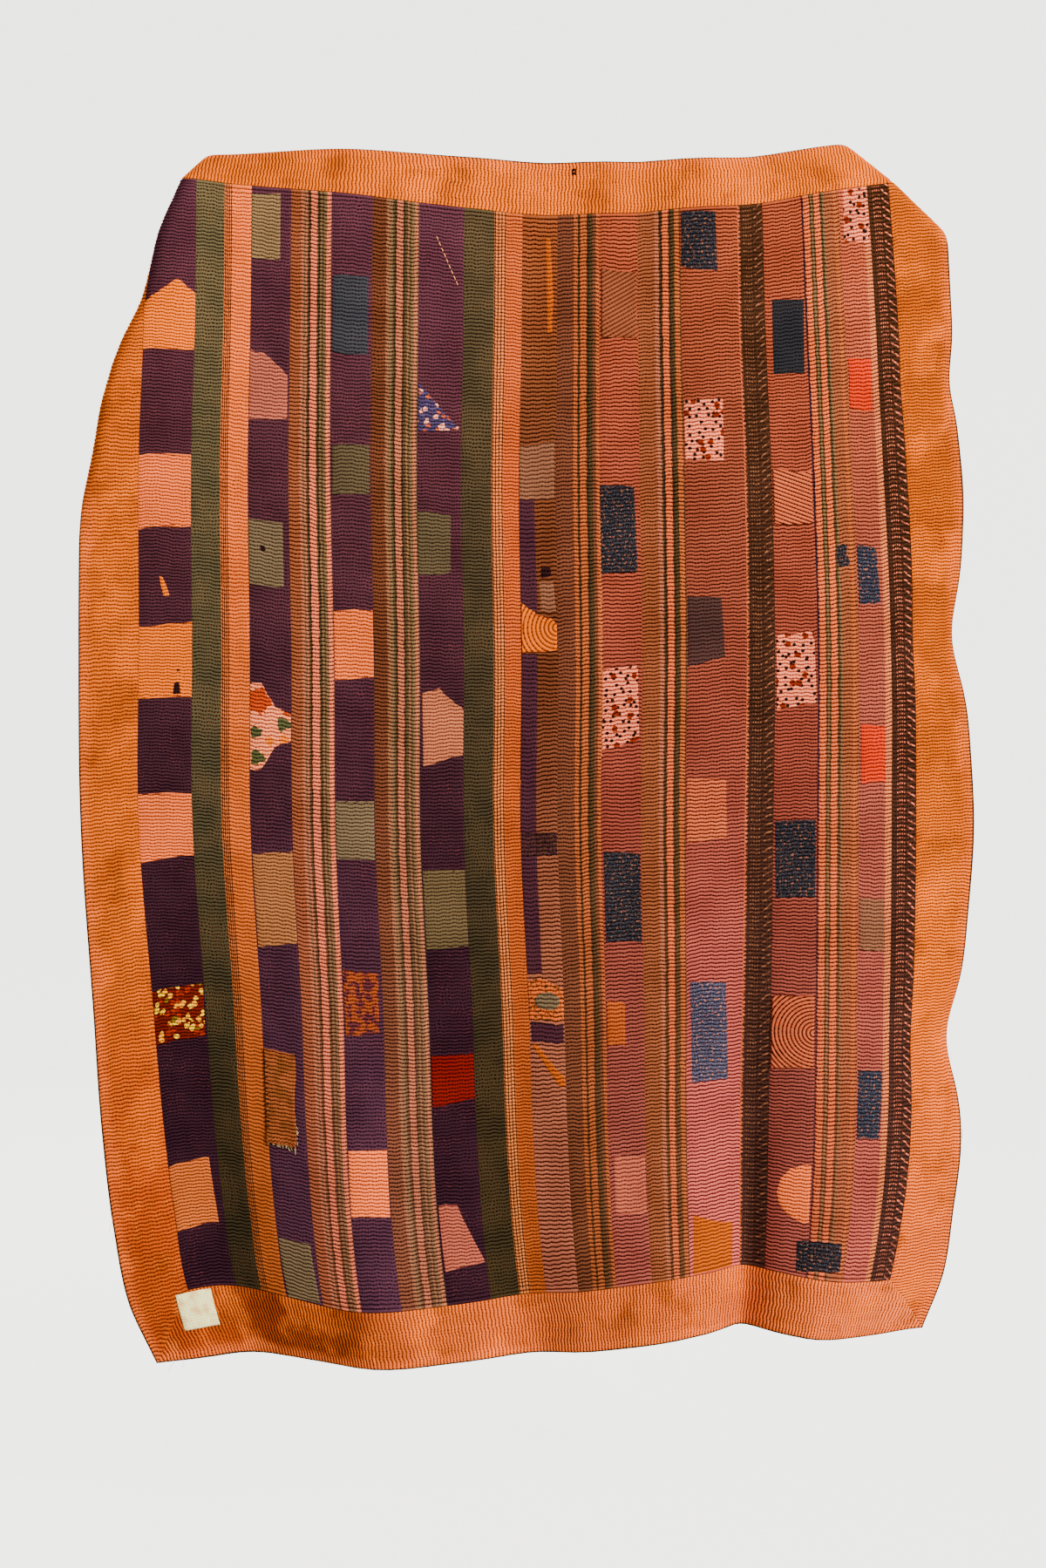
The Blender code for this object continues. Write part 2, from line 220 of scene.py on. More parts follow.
def bend(beyond, radius, most):
    beyond = np.maximum(beyond, 0.0)
    angle = np.minimum(beyond / radius, most)
    straight = beyond - angle * radius
    onward = radius * np.sin(angle) + straight * np.cos(angle)
    back = radius * (1 - np.cos(angle)) + straight * np.sin(angle)
    return onward, back


def hang(across, drop):
    right = placeRight(across, drop)
    up = placeUp(across, drop)
    nearEdge = np.clip((across - (quiltWidth - rippleBand)) / rippleBand, 0.0, None) ** 2
    rippleBack = np.zeros(len(across))
    for centre, reach, shift, depth in ripples:
        strength = nearEdge * np.exp(-((drop - centre) / reach) ** 2)
        right = right + shift * strength
        rippleBack += depth * strength

    bendStart = smoothTable(drop, *zip(*turnRows))
    beyond = np.maximum(bendStart - right, 0.0)
    onward, turnedBack = bend(beyond, turn["radius"], turn["angle"])
    right = right + beyond - onward
    back = foldDepth(across + beyond, drop) + rippleBack + turnedBack

    # the top right corner flops back over a slanting line
    start, end = corner["start"], corner["end"]
    run = (end[0] - start[0], end[1] - start[1])
    length = math.hypot(*run)
    outward = (-run[1] / length, run[0] / length)
    lineDistance = (right - start[0]) * outward[0] + (up - start[1]) * outward[1]
    beyond = np.maximum(lineDistance + corner["radius"], 0.0)
    onward, floppedBack = bend(beyond, corner["radius"], corner["angle"])
    right = right + (onward - beyond) * outward[0]
    up = up + (onward - beyond) * outward[1]
    return np.stack((right, back + floppedBack, up), axis=1)


originShift = hang(np.array([guides[3]]), np.array([0.0]))[0]


def hungPlaces(across, drop):
    places = hang(across, drop) - originShift
    alongAcross = hang(across + slopeStep, drop) - hang(across - slopeStep, drop)
    alongDrop = hang(across, drop + slopeStep) - hang(across, drop - slopeStep)
    normals = np.cross(alongDrop, alongAcross)
    return places, normals / np.linalg.norm(normals, axis=1, keepdims=True)


# The rows of running stitch: each row is a rounded rib between two stitched valleys

ribs = {
    "samples": (0.0, 0.28, 0.72),
    "roundness": 0.6,
    "height": 0.0021,
    "valley": 0.0005,
    "puffLow": 0.78,
    "puffSpan": 0.40,
    "puffLength": 0.0055,
    "waveLength": 0.0088,
    "waveRows": 4.0,
    "wave": 0.00100,
    "slowLength": 0.042,
    "slowRows": 14.0,
    "slow": 0.0032,
    "columnWidth": 0.0047,
    "seamInset": 0.0013,
    "endRows": 3.0,
    "rowStart": 3.0,
    "alongStart": 9.0,
    "puffStart": 40.0,
    "leastGap": 0.12,
}
noiseTables = {
    "seed": 21,
    "rows": 40,
    "puffRows": 401,
    "columns": 512,
    "slowColumns": 128,
    "leastWave": 0.35,
    "mostWave": 1.25,
}
rowPitch = {name: quilt["stripDrop"] / count for name, count in rowCounts.items()}
noiseMaker = np.random.default_rng(noiseTables["seed"])
waveSize = (noiseTables["rows"], noiseTables["columns"])
zigzag = np.where(np.arange(noiseTables["columns"]) % 2, 1.0, -1.0)
waveTable = noiseMaker.uniform(noiseTables["leastWave"], noiseTables["mostWave"], waveSize) * zigzag
slowTable = noiseMaker.uniform(-1.0, 1.0, (noiseTables["rows"], noiseTables["slowColumns"]))
puffTable = noiseMaker.uniform(0.0, 1.0, (noiseTables["puffRows"], noiseTables["columns"]))


def readNoise(table, row, column):
    lowRow = np.floor(row).astype(int)
    lowColumn = np.floor(column).astype(int)
    rowShare = row - lowRow
    columnShare = column - lowColumn
    rowShare = rowShare ** 2 * (3 - 2 * rowShare)
    columnShare = columnShare ** 2 * (3 - 2 * columnShare)
    rows, columns = table.shape
    nearRow, farRow = lowRow % rows, (lowRow + 1) % rows
    nearColumn, farColumn = lowColumn % columns, (lowColumn + 1) % columns
    upper = table[nearRow, nearColumn] * (1 - columnShare) + table[nearRow, farColumn] * columnShare
    lower = table[farRow, nearColumn] * (1 - columnShare) + table[farRow, farColumn] * columnShare
    return upper * (1 - rowShare) + lower * rowShare


def ribWave(along, row):
    # how far a stitched row strays from its straight line, in metres
    rowStart, alongStart = ribs["rowStart"], ribs["alongStart"]
    quick = readNoise(waveTable, row / ribs["waveRows"] + rowStart, along / ribs["waveLength"] + alongStart)
    slow = readNoise(slowTable, row / ribs["slowRows"] + rowStart, along / ribs["slowLength"] + alongStart)
    return ribs["wave"] * quick + ribs["slow"] * slow


def ribRise(along, row):
    # height of a place on the rib over its valley
    phase = row - np.floor(row)
    column = along / ribs["puffLength"] + ribs["alongStart"]
    puff = readNoise(puffTable, np.floor(row) + ribs["puffStart"], column)
    rounded = np.sin(math.pi * np.clip(phase, 0.0, 1.0)) ** ribs["roundness"]
    return ribs["height"] * rounded * (ribs["puffLow"] + ribs["puffSpan"] * puff)


def ribLines(first, last):
    # row numbers at which the cloth is sampled, from first to last
    whole = np.arange(math.floor(first), math.ceil(last) + 1)
    lines = (whole[:, None] + np.asarray(ribs["samples"])[None, :]).ravel()
    lines = lines[(lines > first + ribs["leastGap"]) & (lines < last - ribs["leastGap"])]
    return np.concatenate(([first], lines, [last]))


def evenColumns(left, right, spacing):
    inset = ribs["seamInset"]
    count = max(2, math.ceil((right - left - 2 * inset) / spacing) + 1)
    return np.concatenate(([left], np.linspace(left + inset, right - inset, count), [right]))


def fadeIn(distance, reach):
    share = np.clip(distance / reach, 0.0, 1.0)
    return share * share * (3 - 2 * share)


def easeIn(distance, least, reach):
    # from least at an edge up to 1 at the reach
    return least + (1.0 - least) * fadeIn(distance, reach)


def grid(columns, lines):
    # every place across with every row, as two long lists
    across, rows = np.meshgrid(columns, lines)
    return across.ravel(), rows.ravel()


def strayingDrop(across, row, pitch, calm):
    # the drop of a place on a stitched row, where calm is 0 for a straight row and 1 for a free one
    return quilt["borderTop"] + pitch * row + ribWave(across, row) * calm


# Mesh making: a sheet is a grid of flat places with a height over the hung cloth

def gridFaces(rows, columns, flip=False):
    number = np.arange(rows * columns).reshape(rows, columns)
    corners = (number[:-1, :-1], number[1:, :-1], number[1:, 1:], number[:-1, 1:])
    if flip:
        corners = corners[::-1]
    return np.stack([c.ravel() for c in corners], axis=1)


def outlineOf(number):
    # the outer places of a grid, in order round it
    return np.concatenate((number[0, :-1], number[:-1, -1], number[-1, :0:-1], number[:0:-1, 0]))


def meshObject(name, points, faces, material, maps=None):
    mesh = bpy.data.meshes.new(name)
    faces = np.asarray(faces, np.int32)
    sides = faces.shape[1]
    mesh.vertices.add(len(points))
    mesh.vertices.foreach_set("co", np.asarray(points, np.float32).ravel())
    mesh.loops.add(faces.size)
    mesh.loops.foreach_set("vertex_index", faces.ravel())
    mesh.polygons.add(len(faces))
    mesh.polygons.foreach_set("loop_start", np.arange(0, faces.size, sides, dtype=np.int32))
    mesh.update(calc_edges=True)
    for mapName, values in (maps or {}).items():
        layer = mesh.uv_layers.new(name=mapName)
        layer.data.foreach_set("uv", np.asarray(values, np.float32)[faces.ravel()].ravel())
    mesh.shade_smooth()
    mesh.validate()
    mesh.materials.append(material)
    made = bpy.data.objects.new(name, mesh)
    bpy.context.collection.objects.link(made)
    return made


def sheetObject(name, across, drop, height, along, row, faces, material):
    places, normals = hungPlaces(across, drop)
    points = places + normals * height[:, None]
    maps = {"flat": np.stack((across, drop), axis=1), "rows": np.stack((along, row), axis=1)}
    return meshObject(name, points, faces, material, maps)


def keep(piece, slot, *nodes):
    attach(piece, "root")
    if nodes:
        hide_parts(*nodes)
    return piece


# Material making

toneCurve = (-8.8254, 33.6569, -35.6262, 19.1021, -5.8471)
toneMix = np.array(((0.6893, 0.2535, 0.1734), (-0.0116, 1.1435, -0.1370), (-0.0073, -0.1125, 1.1253)))
dye = {"studioLight": 2.5, "ribLoss": 0.70, "mostRed": 6.0, "least": 0.0006, "most": 0.9}


def paint(red, green, blue, mostRed=dye["mostRed"]):
    # the base colour that the studio's light and the render's tone curve bring back to this
    # sRGB colour, from 0 to 255, as the average over ribs and valleys
    shown = np.polyval(toneCurve, np.array((red, green, blue)) / 255.0)
    light = toneMix @ np.exp(shown)
    light[0] = min(light[0], mostRed * max(light[1], dye["least"]))
    base = np.clip(light / (dye["studioLight"] * dye["ribLoss"]), dye["least"], dye["most"])
    return (*[float(value) for value in base], 1.0)


def addNode(tree, kind, inputs=None, **settings):
    made = tree.nodes.new("ShaderNode" + kind)
    for key, value in settings.items():
        setattr(made, key, value)
    for key, value in (inputs or {}).items():
        if isinstance(value, bpy.types.NodeSocket):
            tree.links.new(value, made.inputs[key])
        else:
            made.inputs[key].default_value = value
    return made


def calc(tree, operation, first, second=0.0):
    return addNode(tree, "Math", {0: first, 1: second}, operation=operation).outputs[0]


def times(tree, first, second):
    return calc(tree, "MULTIPLY", first, second)


def plus(tree, first, second):
    return calc(tree, "ADD", first, second)


def minus(tree, first, second):
    return calc(tree, "SUBTRACT", first, second)


def over(tree, first, second):
    return calc(tree, "DIVIDE", first, second)


def blend(tree, factor, first, second, mode="MIX"):
    made = tree.nodes.new("ShaderNodeMix")
    made.data_type = "RGBA"
    made.blend_type = mode
    made.clamp_factor = True
    for socket, value in ((made.inputs[0], factor), (made.inputs[6], first), (made.inputs[7], second)):
        if isinstance(value, bpy.types.NodeSocket):
            tree.links.new(value, socket)
        else:
            socket.default_value = value
    return made.outputs[2]


def smoothRange(tree, value, low, high, toLow=0.0, toHigh=1.0):
    inputs = {"Value": value, "From Min": low, "From Max": high, "To Min": toLow, "To Max": toHigh}
    return addNode(tree, "MapRange", inputs, interpolation_type="SMOOTHSTEP").outputs[0]


def colourRamp(tree, value, stops, interpolation="LINEAR"):
    made = addNode(tree, "ValToRGB", {0: value})
    ramp = made.color_ramp
    ramp.interpolation = interpolation
    while len(ramp.elements) > 1:
        ramp.elements.remove(ramp.elements[-1])
    ramp.elements[0].position = stops[0][0]
    ramp.elements[0].color = stops[0][1]
    for place, colour in stops[1:]:
        ramp.elements.new(place).color = colour
    return made.outputs[0]


def noise(tree, vector, scale, detail=2.0, roughness=0.5):
    inputs = {"Vector": vector, "Scale": scale, "Detail": detail, "Roughness": roughness}
    return addNode(tree, "TexNoise", inputs, noise_dimensions="2D").outputs[0]


finishAndShade = {
    # painted shade: the colours that darken the stitched valleys and the pits at each stitch
    "valleyShadeColour": (0.15, 0.095, 0.09, 1.0),
    "stitchPitShadeColour": (0.035, 0.022, 0.028, 1.0),
    "stitchLength": 0.0046,
    "weavePitch": 0.0009,
    "bumpDepth": 0.0007,
    "bumpStrength": 0.8,
    "roughness": 0.88,
    "broadScale": 13.0,
    "middleScale": 75.0,
    "fineScale": 520.0,
    "mottleBroad": 0.55,
    "mottleMiddle": 0.65,
    "mottleFine": 0.5,
    "shiftScale": 38.0,
    "shiftAmount": 3.0,
    "squeezeRange": (0.22, 0.5),
    # painted shade of the valleys: how far it strays, how much each stitch widens it, and the depths over
    # which it darkens
    "shadeStray": 0.16,
    "valleyShadeSqueeze": 0.07,
    "valleyShadeRange": (0.23, 0.40),
    "stitchPitShadeSqueeze": 0.10,
    "stitchPitShadeRange": (0.47, 0.58),
    "speckScale": 330.0,
    "speckRange": (0.63, 0.70),
    "wornScale": 21.0,
    "wornRange": (0.46, 0.62),
    "wornRidge": (0.42, 0.18),
    "dashRange": (0.24, 0.14),
    "dashRidge": (0.38, 0.45),
    "dashPatches": (0.35, 0.65),
    "weaveHeight": 0.07,
    "pinchRidge": (0.12, 0.42),
    "pinchHeight": -0.9,
    "fineHeight": 0.35,
    "middleHeight": 0.8,
}
groupInputs = (
    ("Colour", "NodeSocketColor", (0.5, 0.5, 0.5, 1.0)),
    ("Thread", "NodeSocketColor", (0.3, 0.2, 0.2, 1.0)),
    ("Thread Show", "NodeSocketFloat", 0.3),
    # how strongly the painted shade darkens the valleys and stitch pits
    ("Painted Valley Shade", "NodeSocketFloat", 0.8),
    ("Mottle", "NodeSocketFloat", 1.0),
    ("Worn Colour", "NodeSocketColor", (0.5, 0.3, 0.2, 1.0)),
    ("Worn", "NodeSocketFloat", 0.0),
)


def offMiddle(tree, value):
    return minus(tree, value, 0.5)


def makeStitchedGroup():
    # shared finish: mottled dye, painted shade in the stitched valleys and stitch pits, thread dashes, worn
    # specks, puffs and weave
    tree = bpy.data.node_groups.new("stitchedCloth", "ShaderNodeTree")
    face = tree.interface
    for title, kind, start in groupInputs:
        socket = face.new_socket(name=title, in_out="INPUT", socket_type=kind)
        socket.default_value = start
    face.new_socket(name="Colour", in_out="OUTPUT", socket_type="NodeSocketColor")
    face.new_socket(name="Normal", in_out="OUTPUT", socket_type="NodeSocketVector")
    given = tree.nodes.new("NodeGroupInput").outputs
    result = tree.nodes.new("NodeGroupOutput").inputs

    flat = addNode(tree, "UVMap", uv_map="flat").outputs[0]
    rows = addNode(tree, "SeparateXYZ", {0: addNode(tree, "UVMap", uv_map="rows").outputs[0]}).outputs
    sides = addNode(tree, "SeparateXYZ", {0: flat}).outputs
    phase = calc(tree, "FRACT", rows[1])
    ridge = calc(tree, "ABSOLUTE", offMiddle(tree, phase))

    broad = noise(tree, flat, finishAndShade["broadScale"], 2.0)
    middle = noise(tree, flat, finishAndShade["middleScale"], 3.0, 0.6)
    shift = times(tree, noise(tree, flat, finishAndShade["shiftScale"], 2.0), finishAndShade["shiftAmount"])
    beat = plus(tree, over(tree, rows[0], finishAndShade["stitchLength"]), shift)
    stitch = calc(tree, "FRACT", beat)
    betweenStitches = calc(tree, "ABSOLUTE", offMiddle(tree, stitch))
    squeeze = smoothRange(tree, betweenStitches, *finishAndShade["squeezeRange"])
    # painted shade: spread grows towards the middle of each valley and where a stitch pinches it
    stray = times(tree, offMiddle(tree, middle), finishAndShade["shadeStray"])
    spread = plus(tree, plus(tree, ridge, stray), times(tree, squeeze, finishAndShade["valleyShadeSqueeze"]))
    valley = smoothRange(tree, spread, *finishAndShade["valleyShadeRange"])
    stitchPitShadeSpread = plus(tree, spread, times(tree, squeeze, finishAndShade["stitchPitShadeSqueeze"]))
    stitchPitShade = smoothRange(tree, stitchPitShadeSpread, *finishAndShade["stitchPitShadeRange"])
    fine = noise(tree, flat, finishAndShade["fineScale"], 2.0, 0.7)
    shade = times(tree, offMiddle(tree, broad), finishAndShade["mottleBroad"])
    shade = plus(tree, shade, times(tree, offMiddle(tree, middle), finishAndShade["mottleMiddle"]))
    shade = times(tree, shade, given["Mottle"])
    shade = plus(tree, shade, times(tree, offMiddle(tree, fine), finishAndShade["mottleFine"]))
    shade = plus(tree, shade, 1.0)
    shadeColour = addNode(tree, "CombineXYZ", {0: shade, 1: shade, 2: shade}).outputs[0]
    colour = blend(tree, 1.0, given["Colour"], shadeColour, "MULTIPLY")

    speck = smoothRange(tree, noise(tree, flat, finishAndShade["speckScale"], 1.0), *finishAndShade["speckRange"])
    area = smoothRange(tree, noise(tree, flat, finishAndShade["wornScale"], 2.0), *finishAndShade["wornRange"])
    onRidge = smoothRange(tree, ridge, *finishAndShade["wornRidge"])
    worn = times(tree, times(tree, speck, area), onRidge)
    worn = times(tree, worn, given["Worn"])
    colour = blend(tree, worn, colour, given["Worn Colour"])

    # painted shade: darken the valleys and, deepest, the stitch pits
    unshadedColour = colour
    for depth, shadeTint in ((valley, finishAndShade["valleyShadeColour"]), (stitchPitShade, finishAndShade["stitchPitShadeColour"])):
        dark = times(tree, depth, given["Painted Valley Shade"])
        colour = blend(tree, dark, colour, blend(tree, 1.0, unshadedColour, shadeTint, "MULTIPLY"))
    dash = smoothRange(tree, betweenStitches, *finishAndShade["dashRange"])
    inValley = smoothRange(tree, ridge, *finishAndShade["dashRidge"])
    thread = times(tree, times(tree, dash, inValley), given["Thread Show"])
    thread = times(tree, thread, smoothRange(tree, broad, *finishAndShade["dashPatches"]))
    colour = blend(tree, thread, colour, given["Thread"])
    tree.links.new(colour, result["Colour"])

    turnRate = 2 * math.pi / finishAndShade["weavePitch"]
    warp = calc(tree, "SINE", times(tree, sides[0], turnRate))
    weft = calc(tree, "SINE", times(tree, sides[1], turnRate))
    weave = times(tree, times(tree, warp, weft), finishAndShade["weaveHeight"])
    held = times(tree, squeeze, smoothRange(tree, ridge, *finishAndShade["pinchRidge"]))
    height = plus(tree, weave, times(tree, held, finishAndShade["pinchHeight"]))
    height = plus(tree, height, times(tree, fine, finishAndShade["fineHeight"]))
    height = plus(tree, height, times(tree, middle, finishAndShade["middleHeight"]))
    bump = {"Height": height, "Strength": finishAndShade["bumpStrength"], "Distance": finishAndShade["bumpDepth"]}
    tree.links.new(addNode(tree, "Bump", bump).outputs[0], result["Normal"])
    return tree


stitchedGroup = makeStitchedGroup()


def clothMaterial(name, pattern, thread=(120, 60, 50), threadShow=0.35, valley=0.85, mottle=1.0,
                  wornColour=(220, 130, 90), worn=0.0):
    # pattern(tree) gives the colour of the cloth before it is stitched, worn and given its painted valley
    # shade; valley sets how dark that painted shade is
    material = bpy.data.materials.new(name)
    material.use_nodes = True
    tree = material.node_tree
    shader = tree.nodes["Principled BSDF"]
    shader.inputs["Roughness"].default_value = finishAndShade["roughness"]
    shader.inputs["Specular IOR Level"].default_value = 0.0
    group = tree.nodes.new("ShaderNodeGroup")
    group.node_tree = stitchedGroup
    group.inputs["Thread"].default_value = paint(*thread)
    group.inputs["Thread Show"].default_value = threadShow
    group.inputs["Painted Valley Shade"].default_value = valley
    group.inputs["Mottle"].default_value = mottle
    group.inputs["Worn Colour"].default_value = paint(*wornColour)
    group.inputs["Worn"].default_value = worn
    colour = pattern(tree)
    if isinstance(colour, bpy.types.NodeSocket):
        tree.links.new(colour, group.inputs["Colour"])
    else:
        group.inputs["Colour"].default_value = colour
    tree.links.new(group.outputs["Colour"], shader.inputs["Base Color"])
    tree.links.new(group.outputs["Normal"], shader.inputs["Normal"])
    return material


def mapVector(tree, mapName):
    return addNode(tree, "UVMap", uv_map=mapName).outputs[0]


def flatVector(tree):
    return mapVector(tree, "flat")


def flatSides(tree):
    return addNode(tree, "SeparateXYZ", {0: flatVector(tree)}).outputs


def rowSides(tree):
    return addNode(tree, "SeparateXYZ", {0: mapVector(tree, "rows")}).outputs


def flatNoise(tree, scale, *settings):
    return noise(tree, flatVector(tree), scale, *settings)


def colourByDrop(tree, placeColours):
    # colours given at drops, blended between them
    share = over(tree, flatSides(tree)[1], quiltLength)
    return colourRamp(tree, share, [(drop / quiltLength, paint(*colour)) for drop, colour in placeColours])


def plainPattern(*placeColours):
    def pattern(tree):
        if len(placeColours) == 1:
            return paint(*placeColours[0][1])
        return colourByDrop(tree, placeColours)
    return pattern


seamLines = {"strayScale": 60.0, "stray": 4, "fuzzScale": 620.0, "fuzz": 5, "sliverReach": 0.03}


def shareAcross(tree, name, wander=0.012):
    # share of a strip's width, with slightly wandering and fuzzy lines
    left, right = stripEdges[name]
    share = over(tree, minus(tree, flatSides(tree)[0], left), right - left)
    stray = offMiddle(tree, flatNoise(tree, seamLines["strayScale"], 3.0))
    stray = times(tree, stray, wander * seamLines["stray"])
    fuzz = offMiddle(tree, flatNoise(tree, seamLines["fuzzScale"], 1.0))
    fuzz = times(tree, fuzz, wander * seamLines["fuzz"])
    return plus(tree, plus(tree, share, stray), fuzz)


def sliverPattern(name, placeColours, place, tan):
    # a faded strip with a paler tan sliver along its right side
    def pattern(tree):
        reach = seamLines["sliverReach"]
        edge = smoothRange(tree, shareAcross(tree, name, 0.006), place - reach, place + reach)
        return blend(tree, edge, colourByDrop(tree, placeColours), paint(*tan))
    return pattern


# how each cloth's colour changes, part dye fading and part painted shade and light (darker where folds turn
# from the lamp, paler where they face it): place down the drop, or across for the top and bottom borders,
# and its colour
fadesAndPaintedShade = {
    # plum grows darker low down: part dye fading, part painted shade of the lower left
    "plum": ((0.0, (112, 52, 62)), (0.5, (98, 44, 50)), (1.05, (70, 33, 40)), (1.45, (56, 25, 34)),
             (2.03, (58, 27, 36))),
    "plumLight": ((0.0, (112, 52, 62)), (0.5, (100, 46, 52)), (1.05, (80, 38, 46)), (1.45, (86, 44, 56)),
                  (2.03, (92, 48, 62))),
    "olive": ((0.0, (120, 98, 68)), (0.6, (100, 82, 58)), (1.1, (84, 70, 50)), (1.6, (62, 49, 33)),
              (2.03, (58, 45, 31))),
    "oliveDark": ((0.0, (96, 71, 50)), (0.6, (78, 59, 42)), (1.1, (67, 52, 37)), (1.6, (60, 44, 29)),
                  (2.03, (58, 44, 29))),
    "check": ((0.0, (228, 142, 78)), (0.8, (218, 126, 62)), (1.5, (194, 98, 46)), (2.03, (186, 88, 42))),
    "checkDark": ((0.0, (200, 102, 54, 9.0)), (0.6, (200, 94, 48, 9.0)), (1.2, (194, 88, 40, 9.0)),
                  (2.03, (184, 82, 38, 9.0))),
    "salmon": ((0.0, (186, 82, 52)), (0.6, (180, 76, 54)), (1.1, (168, 66, 52)), (1.6, (172, 77, 65)),
               (2.03, (186, 92, 78))),
    "salmonDeep": ((0.0, (181, 78, 49)), (0.6, (169, 70, 50)), (1.1, (170, 69, 54)), (1.6, (204, 98, 87)),
                   (2.03, (216, 120, 108))),
    "salmonLight": ((0.0, (198, 96, 62)), (0.6, (186, 88, 64)), (1.1, (180, 82, 66)), (1.6, (184, 86, 72)),
                    (2.03, (196, 98, 84))),
    "dark": ((0.0, (76, 36, 22)), (1.0, (72, 34, 24)), (2.03, (86, 44, 38))),
    "brown": ((0.0, (176, 80, 46)), (0.4, (150, 66, 42)), (0.9, (134, 56, 36)), (1.5, (180, 100, 72)),
              (2.03, (188, 110, 84))),
    # painted shade: the left border darkens at its foot
    "left": ((0.0, (220, 120, 30)), (0.5, (214, 112, 22)), (0.9, (218, 112, 22)), (1.35, (226, 120, 42)),
             (1.7, (204, 90, 18, 8.0)), (2.03, (194, 80, 16, 8.0))),
    # painted light: the right border grows paler low down, where it faces the lamp
    "right": ((0.0, (216, 106, 16)), (0.4, (208, 95, 10)), (0.9, (210, 97, 10)), (1.4, (224, 126, 50)),
              (2.03, (232, 140, 78))),
    "top": ((0.0, (220, 120, 30)), (0.8, (222, 124, 30)), (1.5, (222, 122, 34))),
    # painted shade: the bottom border is darker at its left, where its folds face away from the lamp
    "bottom": ((0.0, (204, 88, 28, 8.0)), (0.22, (178, 63, 18, 9.0)), (0.38, (176, 63, 18, 9.0)),
               (0.52, (222, 118, 60)), (1.2, (234, 134, 74)), (1.5, (242, 152, 98))),
}

rust, rustShade = (176, 86, 54), (134, 58, 38)
warmPink, dimPink, palePink = (192, 116, 82), (170, 102, 70), (210, 136, 100)
tanOlive, oliveGrey, darkLine = (150, 102, 68), (98, 70, 46), (66, 42, 28)
warmBrown, orangeTan, darkOlive = (146, 66, 46), (192, 98, 54), (88, 58, 36)
coralPink, navyLine = (216, 118, 72), (50, 34, 42)
# share of the width where each stripe starts, and its colour
stripeTables = {
    "strip_05_stripe": ((0.0, rust), (0.26, warmPink), (0.33, tanOlive), (0.37, warmPink), (0.42, oliveGrey),
                        (0.46, darkLine), (0.50, palePink), (0.66, oliveGrey), (0.69, darkLine),
                        (0.73, tanOlive), (0.78, oliveGrey), (0.82, tanOlive), (0.89, palePink),
                        (0.97, warmPink)),
    "strip_07_stripe": ((0.0, rustShade), (0.30, dimPink), (0.38, tanOlive), (0.44, oliveGrey),
                        (0.48, darkLine), (0.52, warmPink), (0.66, darkLine), (0.70, oliveGrey),
                        (0.76, dimPink), (0.80, oliveGrey), (0.84, tanOlive), (0.91, warmPink),
                        (0.97, tanOlive)),
    "strip_12_stripe": ((0.0, warmBrown), (0.40, orangeTan), (0.49, darkOlive), (0.51, darkLine),
                        (0.55, orangeTan), (0.70, darkLine), (0.76, darkOlive), (0.84, warmBrown),
                        (0.92, orangeTan)),
    "strip_14_stripe": ((0.0, rust), (0.40, warmPink), (0.50, darkOlive), (0.53, darkLine),
                        (0.58, coralPink), (0.72, darkLine), (0.77, darkOlive), (0.86, orangeTan),
                        (0.97, darkOlive)),
    "strip_18_stripe": ((0.0, navyLine), (0.05, coralPink), (0.20, darkOlive), (0.24, tanOlive),
                        (0.29, darkOlive), (0.33, coralPink), (0.48, darkOlive), (0.55, tanOlive),
                        (0.60, rust), (0.84, orangeTan), (0.93, rust)),
}


def constantRamp(tree, value, stops):
    return colourRamp(tree, value, [(place, paint(*tone)) for place, tone in stops], "CONSTANT")


stripeFade = {"start": 0.7, "end": 1.9}


def stripePattern(name, lowTint, amount):
    def pattern(tree):
        colour = constantRamp(tree, shareAcross(tree, name), stripeTables[name])
        low = smoothRange(tree, flatSides(tree)[1], stripeFade["start"], stripeFade["end"], 0.0, amount)
        return blend(tree, low, colour, paint(*lowTint))
    return pattern


def nearLine(tree, value, centre, reach):
    distance = calc(tree, "ABSOLUTE", minus(tree, value, centre))
    return smoothRange(tree, distance, reach * 1.3, reach * 0.7)


def nearAny(tree, value, centres, reach):
    marks = nearLine(tree, value, centres[0], reach)
    for centre in centres[1:]:
        line = nearLine(tree, value, centre, reach)
        marks = calc(tree, "MAXIMUM", marks, line)
    return marks


checkLines = {"wander": 0.005, "palerReach": 0.06, "paler": (240, 174, 124), "lineReach": 0.018}


def checkPattern(name, lines, lineColour, placeColours, lift):
    # an apricot strip whose left part has fine dark upright lines on paler cloth
    def pattern(tree):
        share = shareAcross(tree, name, checkLines["wander"])
        colour = colourByDrop(tree, placeColours)
        paler = smoothRange(tree, share, lines[-1] + checkLines["palerReach"], lines[-1], 0.0, lift)
        colour = blend(tree, paler, colour, paint(*checkLines["paler"]))
        marks = nearAny(tree, share, lines, checkLines["lineReach"])
        return blend(tree, marks, colour, paint(*lineColour))
    return pattern


darkDots = {
    "wander": 0.004,
    "dotReach": 0.022,
    "rowReach": 0.20,
    "strayScale": 30.0,
    "stray": 0.9,
    "groupPitch": 0.0142,
    "groupReach": 0.30,
    "groupShow": 0.8,
    "groupLeast": 0.2,
    "dashSpan": (0.62, 1.0),
    "dashStart": (0.0, 0.15),
    "dashEnd": (1.0, 0.75),
    "dashReach": 0.10,
    "patchScale": 190.0,
    "patchRange": (0.36, 0.58, 0.15, 1.0),
    "dotShow": 0.8,
    "edgeColour": (196, 104, 66),
}


